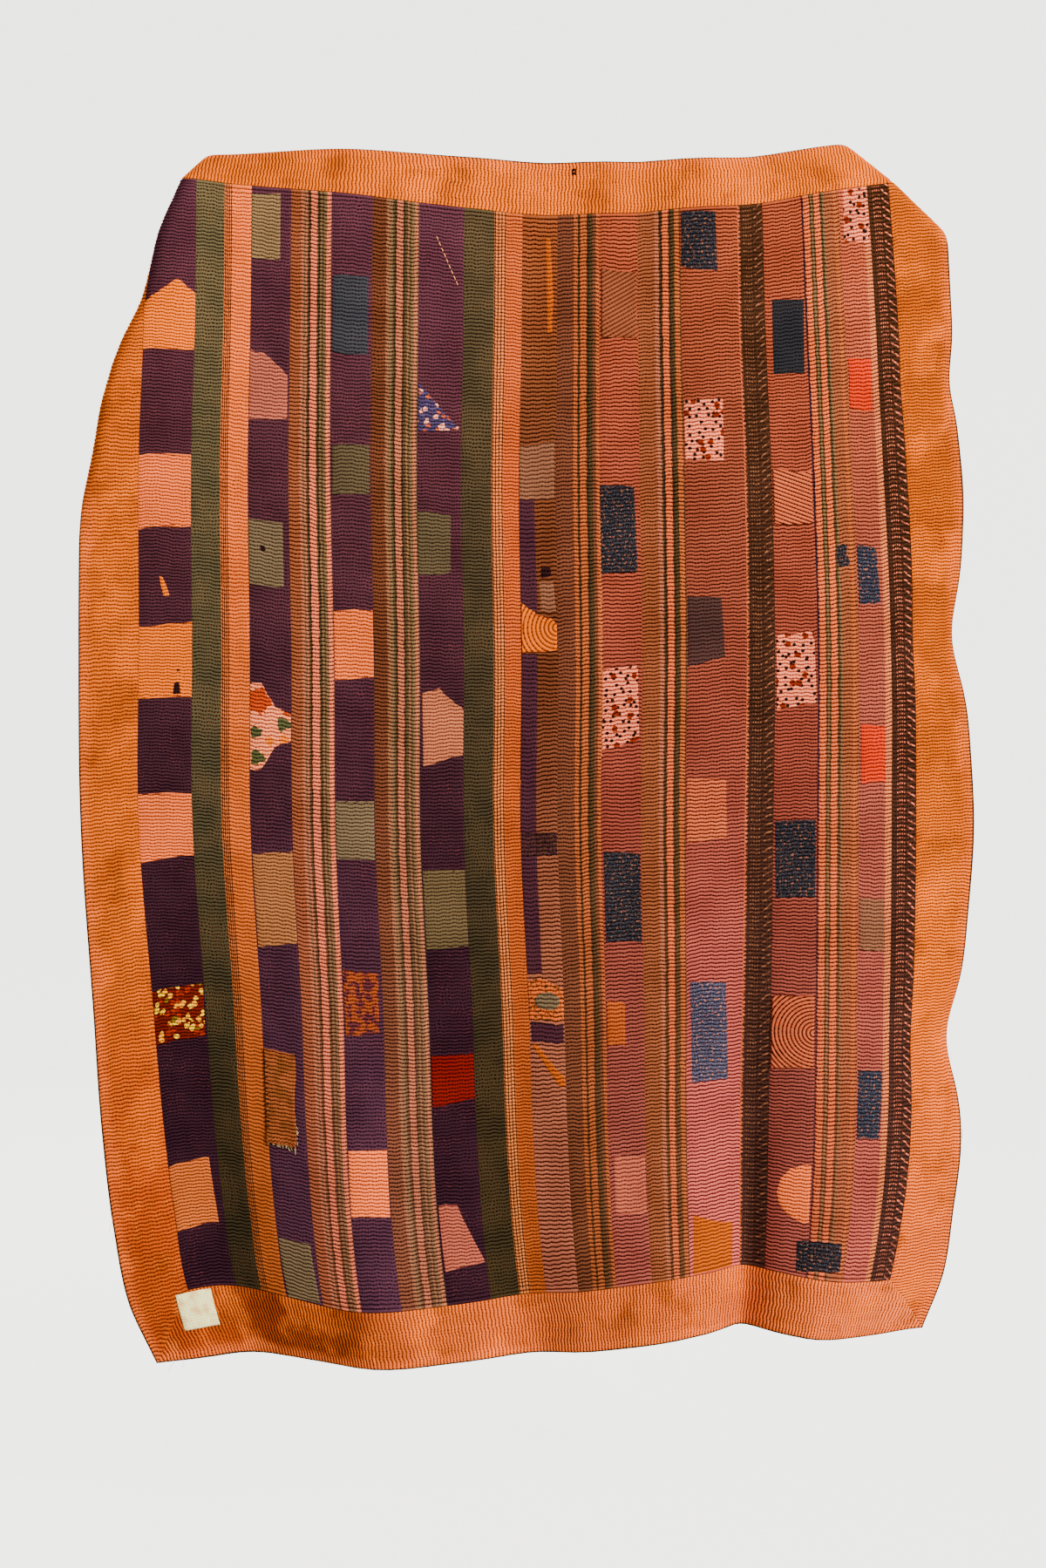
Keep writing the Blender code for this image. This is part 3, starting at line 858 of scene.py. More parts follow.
def darkDotPattern(name, dots, lean, dotColour, scallop):
    # a dark strip with groups of pale dots in columns, a column of slanting pale dashes and,
    # where scallop is over 0, a wavy paler left edge
    def pattern(tree):
        share = shareAcross(tree, name, darkDots["wander"])
        colour = colourByDrop(tree, fadesAndPaintedShade["dark"])
        phase = calc(tree, "FRACT", rowSides(tree)[1])
        marks = nearAny(tree, share, dots, darkDots["dotReach"])
        marks = times(tree, marks, nearLine(tree, phase, 0.5, darkDots["rowReach"]))
        stray = times(tree, flatNoise(tree, darkDots["strayScale"], 2.0), darkDots["stray"])
        beat = plus(tree, over(tree, flatSides(tree)[1], darkDots["groupPitch"]), stray)
        group = nearLine(tree, calc(tree, "FRACT", beat), 0.5, darkDots["groupReach"])
        group = plus(tree, times(tree, group, darkDots["groupShow"]), darkDots["groupLeast"])
        marks = times(tree, marks, group)
        dashLow, dashHigh = darkDots["dashSpan"]
        local = over(tree, minus(tree, share, dashLow), dashHigh - dashLow)
        slantBeat = calc(tree, "FRACT", plus(tree, beat, times(tree, local, lean)))
        started = smoothRange(tree, local, *darkDots["dashStart"])
        inside = times(tree, started, smoothRange(tree, local, *darkDots["dashEnd"]))
        slant = times(tree, nearLine(tree, slantBeat, 0.5, darkDots["dashReach"]), inside)
        patchy = smoothRange(tree, flatNoise(tree, darkDots["patchScale"], 2.0), *darkDots["patchRange"])
        both = calc(tree, "MAXIMUM", times(tree, marks, darkDots["dotShow"]), slant)
        colour = blend(tree, times(tree, both, patchy), colour, paint(*dotColour))
        bulge = calc(tree, "SINE", times(tree, plus(tree, beat, stray), 4 * math.pi))
        edge = plus(tree, share, times(tree, bulge, -scallop * 0.5))
        edge = smoothRange(tree, edge, scallop * 1.1, scallop * 0.7)
        return blend(tree, edge, colour, paint(*darkDots["edgeColour"]))
    return pattern


def speckledPattern(base, speck, scale, low, high):
    def pattern(tree):
        marks = smoothRange(tree, flatNoise(tree, scale, 2.0), low, high)
        return blend(tree, marks, paint(*base), paint(*speck))
    return pattern


grainyDots = {"grainScale": 520.0, "grain": (0.50, 0.66), "dotScale": 210.0, "dot": (0.64, 0.72)}


def dottedPattern(base, grain, dot):
    # dark cloth with a grey grain and a few warm dots
    def pattern(tree):
        grey = smoothRange(tree, flatNoise(tree, grainyDots["grainScale"], 2.0), *grainyDots["grain"])
        colour = blend(tree, grey, paint(*base), paint(*grain))
        warm = smoothRange(tree, flatNoise(tree, grainyDots["dotScale"], 1.0), *grainyDots["dot"])
        return blend(tree, warm, colour, paint(*dot))
    return pattern


def movedBy(tree, vector, shift):
    return addNode(tree, "VectorMath", {0: vector, 1: shift}, operation="ADD").outputs[0]


def cells(tree, vector, scale):
    return addNode(tree, "TexVoronoi", {"Vector": vector, "Scale": scale}, voronoi_dimensions="2D").outputs


blots = {"warpScale": 70.0, "warpAcross": 0.012, "warpDrop": -0.010, "rim": (0.42, 0.52)}


def blotPattern(stops, scale):
    # loose blots of a few colours, as on a flower print
    def pattern(tree):
        warp = flatNoise(tree, blots["warpScale"], 2.0)
        start = flatVector(tree)
        shifts = {0: times(tree, warp, blots["warpAcross"]), 1: times(tree, warp, blots["warpDrop"])}
        moved = movedBy(tree, start, addNode(tree, "CombineXYZ", shifts).outputs[0])
        cell = cells(tree, moved, scale)
        pick = addNode(tree, "SeparateXYZ", {0: cell["Color"]}).outputs[0]
        colour = constantRamp(tree, pick, stops)
        rim = smoothRange(tree, cell["Distance"], *blots["rim"])
        return blend(tree, rim, colour, paint(*stops[0][1]))
    return pattern


lobed = {"strayScale": 150.0, "stray": 0.9, "rim": (1.05, 0.92)}


def flowerPattern(ground, blooms):
    # ordinary lobed flowers and leaves on plain cloth: each is across, drop, radius, lobes, depth, colour
    def pattern(tree):
        sides = flatSides(tree)
        colour = paint(*ground)
        stray = times(tree, offMiddle(tree, flatNoise(tree, lobed["strayScale"], 2.0)), lobed["stray"])
        for across, drop, radius, lobes, depth, tone in blooms:
            right = minus(tree, sides[0], across)
            down = minus(tree, sides[1], drop)
            angle = times(tree, calc(tree, "ARCTAN2", down, right), lobes)
            reach = plus(tree, times(tree, calc(tree, "COSINE", angle), depth * 0.5), 1.0)
            squares = [calc(tree, "POWER", side, 2.0) for side in (right, down)]
            far = calc(tree, "SQRT", plus(tree, *squares))
            share = plus(tree, over(tree, over(tree, far, radius), reach), stray)
            colour = blend(tree, smoothRange(tree, share, *lobed["rim"]), colour, paint(*tone))
        return colour
    return pattern


creamPrint = {
    "ground": (214, 146, 112),
    "dot": (26, 16, 16),
    "dotScale": 76.0,
    "dotRange": (0.27, 0.19),
    "motif": (236, 66, 14, 14.0),
    "motifScale": 34.0,
    "motifRange": (0.21, 0.15),
    "strayScale": 190.0,
    "stray": 0.006,
}


def creamPrintPattern(tree):
    # cream ground with scattered black dots and small red motifs
    stray = times(tree, flatNoise(tree, creamPrint["strayScale"], 2.0), creamPrint["stray"])
    moved = movedBy(tree, flatVector(tree), stray)
    near = cells(tree, flatVector(tree), creamPrint["dotScale"])
    dots = smoothRange(tree, near["Distance"], *creamPrint["dotRange"])
    colour = blend(tree, dots, paint(*creamPrint["ground"]), paint(*creamPrint["dot"]))
    cell = cells(tree, moved, creamPrint["motifScale"])
    motif = smoothRange(tree, cell["Distance"], *creamPrint["motifRange"])
    return blend(tree, motif, colour, paint(*creamPrint["motif"]))


def twoTonePattern(first, second, scale, low=0.46, high=0.54):
    def pattern(tree):
        marks = smoothRange(tree, flatNoise(tree, scale, 3.0, 0.65), low, high)
        return blend(tree, marks, paint(*first), paint(*second))
    return pattern


borderDye = {
    "blotchScale": 9.0,
    "blotchRange": (0.50, 0.66),
    "blotch": (226, 138, 54),
    "blotchShow": 0.5,
    "stainScale": 12.0,
    "stainRange": (0.52, 0.70),
    "stain": (196, 82, 12),
    "stainShow": 0.55,
    "rimWander": -0.012,
    "rimRange": (0.024, 0.004),
    "rim": (226, 138, 74),
    "outerRange": (0.0026, 0.0014),
    "outer": (96, 46, 32),
}


def fromNearerEnd(tree, place, length):
    return calc(tree, "MINIMUM", place, minus(tree, length, place))


def borderPattern(placeColours, along, span, edgePale):
    # mottled orange with paler blotches and a pale outer edge; along is 0 for across, 1 for drop
    def pattern(tree):
        sides = flatSides(tree)
        stops = [(place / span, paint(*colour)) for place, colour in placeColours]
        colour = colourRamp(tree, over(tree, sides[along], span), stops)
        blotch = flatNoise(tree, borderDye["blotchScale"], 3.0, 0.6)
        blotch = smoothRange(tree, blotch, *borderDye["blotchRange"])
        stain = flatNoise(tree, borderDye["stainScale"], 4.0, 0.65)
        stain = smoothRange(tree, stain, *borderDye["stainRange"])
        nearSide = fromNearerEnd(tree, sides[0], quiltWidth)
        nearest = calc(tree, "MINIMUM", nearSide, fromNearerEnd(tree, sides[1], quiltLength))
        outer = smoothRange(tree, nearest, *borderDye["outerRange"])
        nearest = plus(tree, nearest, times(tree, blotch, borderDye["rimWander"]))
        rim = smoothRange(tree, nearest, *borderDye["rimRange"], 0.0, edgePale)
        blotch = times(tree, blotch, borderDye["blotchShow"])
        colour = blend(tree, blotch, colour, paint(*borderDye["blotch"]))
        stain = times(tree, stain, borderDye["stainShow"])
        colour = blend(tree, stain, colour, paint(*borderDye["stain"]))
        colour = blend(tree, rim, colour, paint(*borderDye["rim"]))
        return blend(tree, outer, colour, paint(*borderDye["outer"]))
    return pattern


materials = {}
print("materials started")


def addCloth(name, pattern, **settings):
    materials[name] = clothMaterial(name, pattern, **settings)


for toneName, thread, threadShow, valley, worn in (
    ("plum", (130, 70, 80), 0.25, 0.85, 0.20),
    ("plumLight", (150, 80, 90), 0.30, 0.85, 0.22),
    ("olive", (176, 100, 58), 0.60, 0.90, 0.10),
    ("oliveDark", (160, 86, 48), 0.45, 0.90, 0.06),
    ("salmon", (120, 50, 40), 0.2, 1.0, 0.0),
    ("salmonDeep", (120, 50, 40), 0.2, 1.0, 0.0),
    ("brown", (110, 50, 24), 0.2, 1.0, 0.0),
):
    addCloth(toneName, plainPattern(*fadesAndPaintedShade[toneName]), thread=thread, threadShow=threadShow,
             valley=valley, worn=worn, wornColour=(196, 88, 84))
for borderName, along, span, edgePale in (
    ("left", 1, quiltLength, 0.5),
    ("right", 1, quiltLength, 0.35),
    ("top", 0, quiltWidth, 0.35),
    ("bottom", 0, quiltWidth, 0.6),
):
    addCloth(borderName, borderPattern(fadesAndPaintedShade[borderName], along, span, edgePale), thread=(190, 84, 30),
             threadShow=0.3, valley=0.8, worn=0.4, wornColour=(240, 172, 100))
addCloth("sliver_19", sliverPattern("strip_19_salmon", fadesAndPaintedShade["salmonLight"], 0.80, (202, 128, 82)),
         valley=0.95)
addCloth("reverse", plainPattern((0.0, (72, 38, 36)), (2.03, (62, 32, 33))), thread=(150, 90, 70),
         threadShow=0.35, worn=0.25, mottle=0.6)
leftCheck = checkPattern("strip_03_check", (0.045, 0.115, 0.185, 0.255), (46, 30, 26), fadesAndPaintedShade["check"], 0.10)
addCloth("check_03", leftCheck, valley=0.75)
middleCheck = checkPattern("strip_10_check", (0.03, 0.14, 0.26, 0.38), (46, 28, 24), fadesAndPaintedShade["checkDark"],
                           0.30)
addCloth("check_10", middleCheck, wornColour=(90, 40, 26), worn=0.3)
for stripeName, lowTint, amount in (
    ("strip_05_stripe", (196, 118, 96), 0.20),
    ("strip_07_stripe", (176, 104, 84), 0.25),
    ("strip_12_stripe", (150, 76, 50), 0.30),
    ("strip_14_stripe", (172, 92, 62), 0.30),
    ("strip_18_stripe", (190, 96, 72), 0.25),
):
    addCloth(stripeName, stripePattern(stripeName, lowTint, amount), valley=0.95)
for clothName, stripName, dots, lean, dotColour, scallop in (
    ("dark_16", "strip_16_dark", (0.24, 0.33, 0.42, 0.51), 0.8, (172, 100, 68), 0.075),
    ("dark_20", "strip_20_dark", (0.25, 0.34, 0.43, 0.52), -0.8, (212, 142, 108), 0.0),
):
    addCloth(clothName, darkDotPattern(stripName, dots, lean, dotColour, scallop), valley=0.7)

patchCloths = {
    "orangePatch": (222, 136, 46),
    "salmonPatch": (216, 132, 72),
    "tanOrange": (216, 126, 44),
    "salmonShade": (200, 112, 56),
    "tanOlivePatch": (164, 124, 84),
    "rosePatch": (194, 112, 88),
    "olivePatch": (104, 78, 56),
    "tanPatch": (184, 116, 70),
    "tealPatch": (54, 62, 66),
    "peachPatch": (216, 128, 68),
    "peachRose": (192, 116, 80),
    "redPatch": (156, 22, 14, 26.0),
    "pinkPatch": (190, 100, 78),
    "violetPatch": (84, 38, 46),
    "yellowPatch": (208, 112, 20),
    "duskyPatch": (82, 46, 42),
    "brownPatch": (166, 76, 50),
    "charcoalPatch": (35, 41, 44),
    "orangeRed": (238, 76, 10, 27.0),
    "brightOrange": (218, 98, 8),
    "oliveTan": (138, 104, 76),
    "pinkTanPatch": (162, 92, 66),
    "rosyTan": (196, 110, 84),
    "umberTan": (116, 82, 56),
    "warmOrange": (204, 90, 46),
    "peachBright": (232, 144, 88),
    "darnDark": (46, 18, 20),
}
for clothName, colour in patchCloths.items():
    addCloth(clothName, plainPattern((0.0, colour)), mottle=0.8, valley=0.8)
for clothName, base, grain, dot in (
    ("navyDots", (26, 30, 35), (64, 72, 77), (168, 92, 66)),
    ("navyBlue", (30, 45, 55), (60, 82, 95), (178, 98, 72)),
    ("blueDots", (50, 61, 78), (106, 119, 136), (190, 124, 100)),
):
    addCloth(clothName, dottedPattern(base, grain, dot), threadShow=0.2)
addCloth("creamPrint", creamPrintPattern, valley=0.9, threadShow=0.0)
yellowBlots = ((0.0, (200, 34, 20, 20.0)), (0.36, (236, 176, 28)), (0.60, (206, 50, 20, 18.0)),
               (0.78, (150, 104, 30)), (0.86, (240, 190, 44)))
addCloth("yellowFlowers", blotPattern(yellowBlots, 105.0))
redBlooms = (
    (0.303, 0.940, 0.021, 5, 0.30, (222, 74, 32, 12.0)),
    (0.345, 0.974, 0.012, 3, 0.35, (84, 84, 52)),
    (0.299, 0.992, 0.010, 3, 0.35, (84, 84, 52)),
    (0.301, 1.034, 0.012, 3, 0.35, (88, 88, 52)),
    (0.322, 1.004, 0.008, 4, 0.25, (212, 132, 30)),
    (0.346, 1.000, 0.008, 4, 0.25, (216, 138, 30)),
    (0.352, 0.953, 0.007, 5, 0.20, (216, 70, 30, 12.0)),
)
addCloth("redFlowers", flowerPattern((226, 158, 118), redBlooms))
blueBlots = ((0.0, (62, 62, 92)), (0.34, (220, 176, 160)), (0.60, (74, 76, 112)), (0.80, (214, 96, 66)))
addCloth("bluePrint", blotPattern(blueBlots, 120.0))
addCloth("emberPrint", twoTonePattern((208, 80, 44), (116, 42, 46), 75.0))
addCloth("linedOrange", speckledPattern((206, 110, 54), (110, 58, 32), 190.0, 0.56, 0.62))
addCloth("darkPlaid", twoTonePattern((96, 46, 36), (56, 28, 32), 160.0))
addCloth("tanStitched", plainPattern((0.0, (198, 103, 67))), threadShow=0.6, thread=(96, 46, 24),
         valley=1.0)
print("cloth materials made", len(materials))


# The upright strips

seamHold = {"least": 0.55, "reach": 0.004}


def makeStrip(name, slot, cloth):
    left, right = stripEdges[name]
    columns = evenColumns(left, right, ribs["columnWidth"])
    lines = ribLines(0.0, float(rowCounts[name]))
    across, row = grid(columns, lines)
    ends = fadeIn(np.minimum(row, rowCounts[name] - row), ribs["endRows"])
    drop = strayingDrop(across, row, rowPitch[name], ends)
    # ribs are a little lower where a seam holds them
    held = easeIn(np.minimum(across - left, right - across), seamHold["least"], seamHold["reach"])
    height = ribs["valley"] + ribRise(across, row) * held
    faces = gridFaces(len(lines), len(columns))
    piece = sheetObject(name + "_cloth", across, drop, height, across, row, faces, materials[cloth])
    return keep(piece, slot, name)


for stripName, *others, stripSlot, stripCloth in strips:
    makeStrip(stripName, stripSlot, stripCloth)
print("strips made")


# The four mitred border pieces

# border, the name of its width, those of the widths at its start and end, shift of its stitch pattern
borders = {
    "border_left": ("borderLeft", "borderTop", "borderBottom", 0.0),
    "border_right": ("borderRight", "borderTop", "borderBottom", 0.0),
    "border_top": ("borderTop", "borderLeft", "borderRight", 1.31),
    "border_bottom": ("borderBottom", "borderLeft", "borderRight", 2.77),
}
borderEdge = {
    "wallLow": -0.0005,
    "wallTop": 0.0006,
    "calmReach": 0.012,
    "seamLeast": 0.5,
    "seamReach": 0.004,
    "edgeLeast": 0.35,
    "edgeReach": 0.003,
}


def makeBorder(name):
    upright = name in ("border_left", "border_right")
    width, startWidth, endWidth = (quilt[key] for key in borders[name][:3])
    length = quiltLength if upright else quiltWidth
    pitch = rowPitch[name]
    first = -quilt["borderTop"] / pitch if upright else 0.0
    lines = ribLines(first, first + length / pitch)
    shares = evenColumns(0.0, width, ribs["columnWidth"]) / width
    shares = np.concatenate(([0.0], shares))
    share, row = grid(shares, lines)
    station = (row - first) * pitch
    reach = width * np.minimum(1.0, np.minimum(station / startWidth, (length - station) / endWidth))
    inward = share * reach

    seamRoom = (1.0 - share) * reach
    calm = fadeIn(np.minimum(station, length - station), borderEdge["calmReach"])
    inCorner = (station < startWidth) | (station > length - endWidth)
    calm = calm * np.where(inCorner, fadeIn(seamRoom, borderEdge["calmReach"]), 1.0)
    if upright:
        across = inward if name == "border_left" else quiltWidth - inward
        along = across
        drop = station + ribWave(along, row) * calm
    else:
        drop = inward if name == "border_top" else quiltLength - inward
        along = drop + borders[name][3]
        across = station + ribWave(along, row) * calm
    atSeam = easeIn(seamRoom, borderEdge["seamLeast"], borderEdge["seamReach"])
    atEdge = easeIn(inward, borderEdge["edgeLeast"], borderEdge["edgeReach"])
    height = ribs["valley"] + ribRise(along, row) * atSeam * atEdge
    columnNumber = np.tile(np.arange(len(shares)), len(lines))
    height = np.where(columnNumber == 0, borderEdge["wallLow"], height)
    height = np.where(columnNumber == 1, borderEdge["wallTop"], height)
    faces = gridFaces(len(lines), len(shares), flip=name in ("border_right", "border_top"))
    look = materials[name.removeprefix("border_")]
    piece = sheetObject(name + "_cloth", across, drop, height, along, row, faces, look)
    return keep(piece, "orange", name), (width * (length - (startWidth + endWidth) / 2))


for borderName in borders:
    makeBorder(borderName)
print("borders made")


# The dark sheet behind, a rim wider than the front

backing = {
    "columnWidth": 0.036,
    "least": 0.004,
    "shrink": 0.8,
    "stray": 0.0011,
    "strayDrops": 60,
    "valley": -0.0015,
    "rise": 0.0010,
    "calmReach": 0.012,
    "rimHeight": -0.0006,
    "rimInset": 0.004,
}


def chordGap(left, right):
    # how far a straight line from left to right strays from the folds, at its worst drop
    drops = np.linspace(0.0, quiltLength, backing["strayDrops"])
    start = hungPlaces(np.full(len(drops), left), drops)[0]
    end = hungPlaces(np.full(len(drops), right), drops)[0]
    gaps = []
    for share in (0.25, 0.5, 0.75):
        places, normals = hungPlaces(np.full(len(drops), left + (right - left) * share), drops)
        gaps.append(np.abs(((start + (end - start) * share - places) * normals).sum(axis=1)).max())
    return max(gaps)


def foldedColumns(left, right):
    # columns as far apart as the folds allow
    inset = ribs["seamInset"]
    columns = [left, left + inset]
    while columns[-1] < right - inset - 1e-6:
        step = backing["columnWidth"]
        while step > backing["least"] and chordGap(columns[-1], columns[-1] + step) > backing["stray"]:
            step *= backing["shrink"]
        columns.append(min(columns[-1] + step, right - inset))
    return np.array(columns + [right])


def makeBacking():
    rim = quilt["backingRim"]
    pitch = rowPitch["backing"]
    first = -(quilt["borderTop"] + rim) / pitch
    last = (quiltLength + rim - quilt["borderTop"]) / pitch
    lines = ribLines(first, last)
    columns = foldedColumns(-rim, quiltWidth + rim)
    across, row = grid(columns, lines)
    fromSide = np.minimum(across + rim, quiltWidth + rim - across)
    fromEnd = np.minimum(row - first, last - row) * pitch
    calm = fadeIn(np.minimum(fromSide, fromEnd), backing["calmReach"])
    drop = strayingDrop(across, row, pitch, calm)
    rise = ribRise(across, row) / ribs["height"] * backing["rise"] * calm
    height = backing["valley"] - rise
    faces = gridFaces(len(lines), len(columns), flip=True)

    # the rim turns to the front in two rings round the sheet
    loop = outlineOf(np.arange(len(across)).reshape(len(lines), len(columns)))
    count, places = len(loop), len(across)
    acrosses, drops, heights, rows, allFaces = [across], [drop], [height], [row], [faces]
    inner = loop
    for step, inset in enumerate((0.0, backing["rimInset"])):
        acrosses.append(np.clip(across[loop], -rim + inset, quiltWidth + rim - inset))
        drops.append(np.clip(drop[loop], -rim + inset, quiltLength + rim - inset))
        heights.append(np.full(count, backing["rimHeight"]))
        rows.append(row[loop])
        outer = places + step * count + np.arange(count)
        allFaces.append(np.stack((inner, outer, np.roll(outer, -1), np.roll(inner, -1)), axis=1))
        inner = outer
    across, drop, height, row, faces = map(np.concatenate, (acrosses, drops, heights, rows, allFaces))
    piece = sheetObject("backing_cloth", across, drop, height, across, row, faces, materials["reverse"])
    return keep(piece, "reverse", "backing")


backingPiece = makeBacking()
print("backing made")


# The mending patches: each follows the ribs of its strip and stands a little proud of them

patchShape = {
    "edge": 0.00018,
    "proud": 0.0006,
    "smallProud": 0.0011,
    "spotProud": 0.0014,
    "lip": 0.0011,
    "columnWidth": 0.0045,
    "ownProud": 0.0014,
    "ownSettle": 0.0006,
    "ownRow": 0.0017,
    "ownColumn": 0.0019,
    "leastRows": 8,
    "ringTurn": 0.03,
    "mapStart": 0.4,
}


def extents(corners, drops):
    # left and right side of a shape at each drop
    lows, highs = [], []
    ring = list(corners) + [corners[0]]
    for drop in drops:
        hits = []
        for (x0, y0), (x1, y1) in zip(ring, ring[1:]):
            if min(y0, y1) <= drop <= max(y0, y1):
                hits += [x0, x1] if y0 == y1 else [x0 + (x1 - x0) * (drop - y0) / (y1 - y0)]
        lows.append(min(hits))
        highs.append(max(hits))
    return np.array(lows), np.array(highs)


def ownPlaces(corners, across, drop, rows):
    # distance along and across stitch rows that run in rings or slant
    sides, drops = zip(*corners)
    down = drop - (min(drops) + max(drops)) / 2
    if rows == "rings":
        right = across - max(sides)
        return np.arctan2(down, right) * patchShape["ringTurn"], np.hypot(right, down)
    right = across - sum(sides) / len(sides)
    angle = math.radians(rows)
    away = right * math.sin(angle) + down * math.cos(angle) + patchShape["mapStart"]
    return right * math.cos(angle) - down * math.sin(angle), away


def makePatch(name, strip, corners, look, slot, proud, rows=None):
    drops = [place[1] for place in corners]
    low, high = min(drops), max(drops)
    pitch = rowPitch[strip]
    firstRow, lastRow = (low - quilt["borderTop"]) / pitch, (high - quilt["borderTop"]) / pitch
    if rows is None:
        lines = ribLines(firstRow, lastRow)
        spacing = patchShape["columnWidth"]
    else:
        count = max(patchShape["leastRows"], int((high - low) / patchShape["ownRow"]))
        lines = np.linspace(firstRow, lastRow, count)
        spacing = patchShape["ownColumn"]
    left, right = extents(corners, np.clip(quilt["borderTop"] + lines * pitch, low, high))
    widest = float((right - left).max())
    lip = patchShape["lip"] / widest
    shares = np.linspace(lip, 1.0 - lip, max(2, math.ceil(widest / spacing)))
    shares = np.concatenate(([0.0], shares, [1.0]))
    share, row = grid(shares, lines)
    leftSide, width = np.repeat(left, len(shares)), np.repeat(right - left, len(shares))
    across = leftSide + width * share
    ends = fadeIn(np.minimum(row, rowCounts[strip] - row), ribs["endRows"])
    drop = strayingDrop(across, row, pitch, ends)
    fromSide = np.minimum(share, 1.0 - share) * width
    fromEnd = np.minimum(row - firstRow, lastRow - row) * pitch
    lift = fadeIn(np.minimum(fromSide, fromEnd), patchShape["lip"])
    base = ribs["valley"] + ribRise(across, row)
    along, rowMap = across, row
    if rows is not None:
        along, away = ownPlaces(corners, across, drop, rows)
        along, rowMap = along + patchShape["mapStart"], away / pitch
        settled = ribs["valley"] + patchShape["ownSettle"] + ribRise(along, rowMap)
        base = base * (1 - lift) + settled * lift
    height = base + patchShape["edge"] + (proud - patchShape["edge"]) * lift
    faces = gridFaces(len(lines), len(shares))
    return keep(sheetObject(name, across, drop, height, along, rowMap, faces, materials[look]), slot)


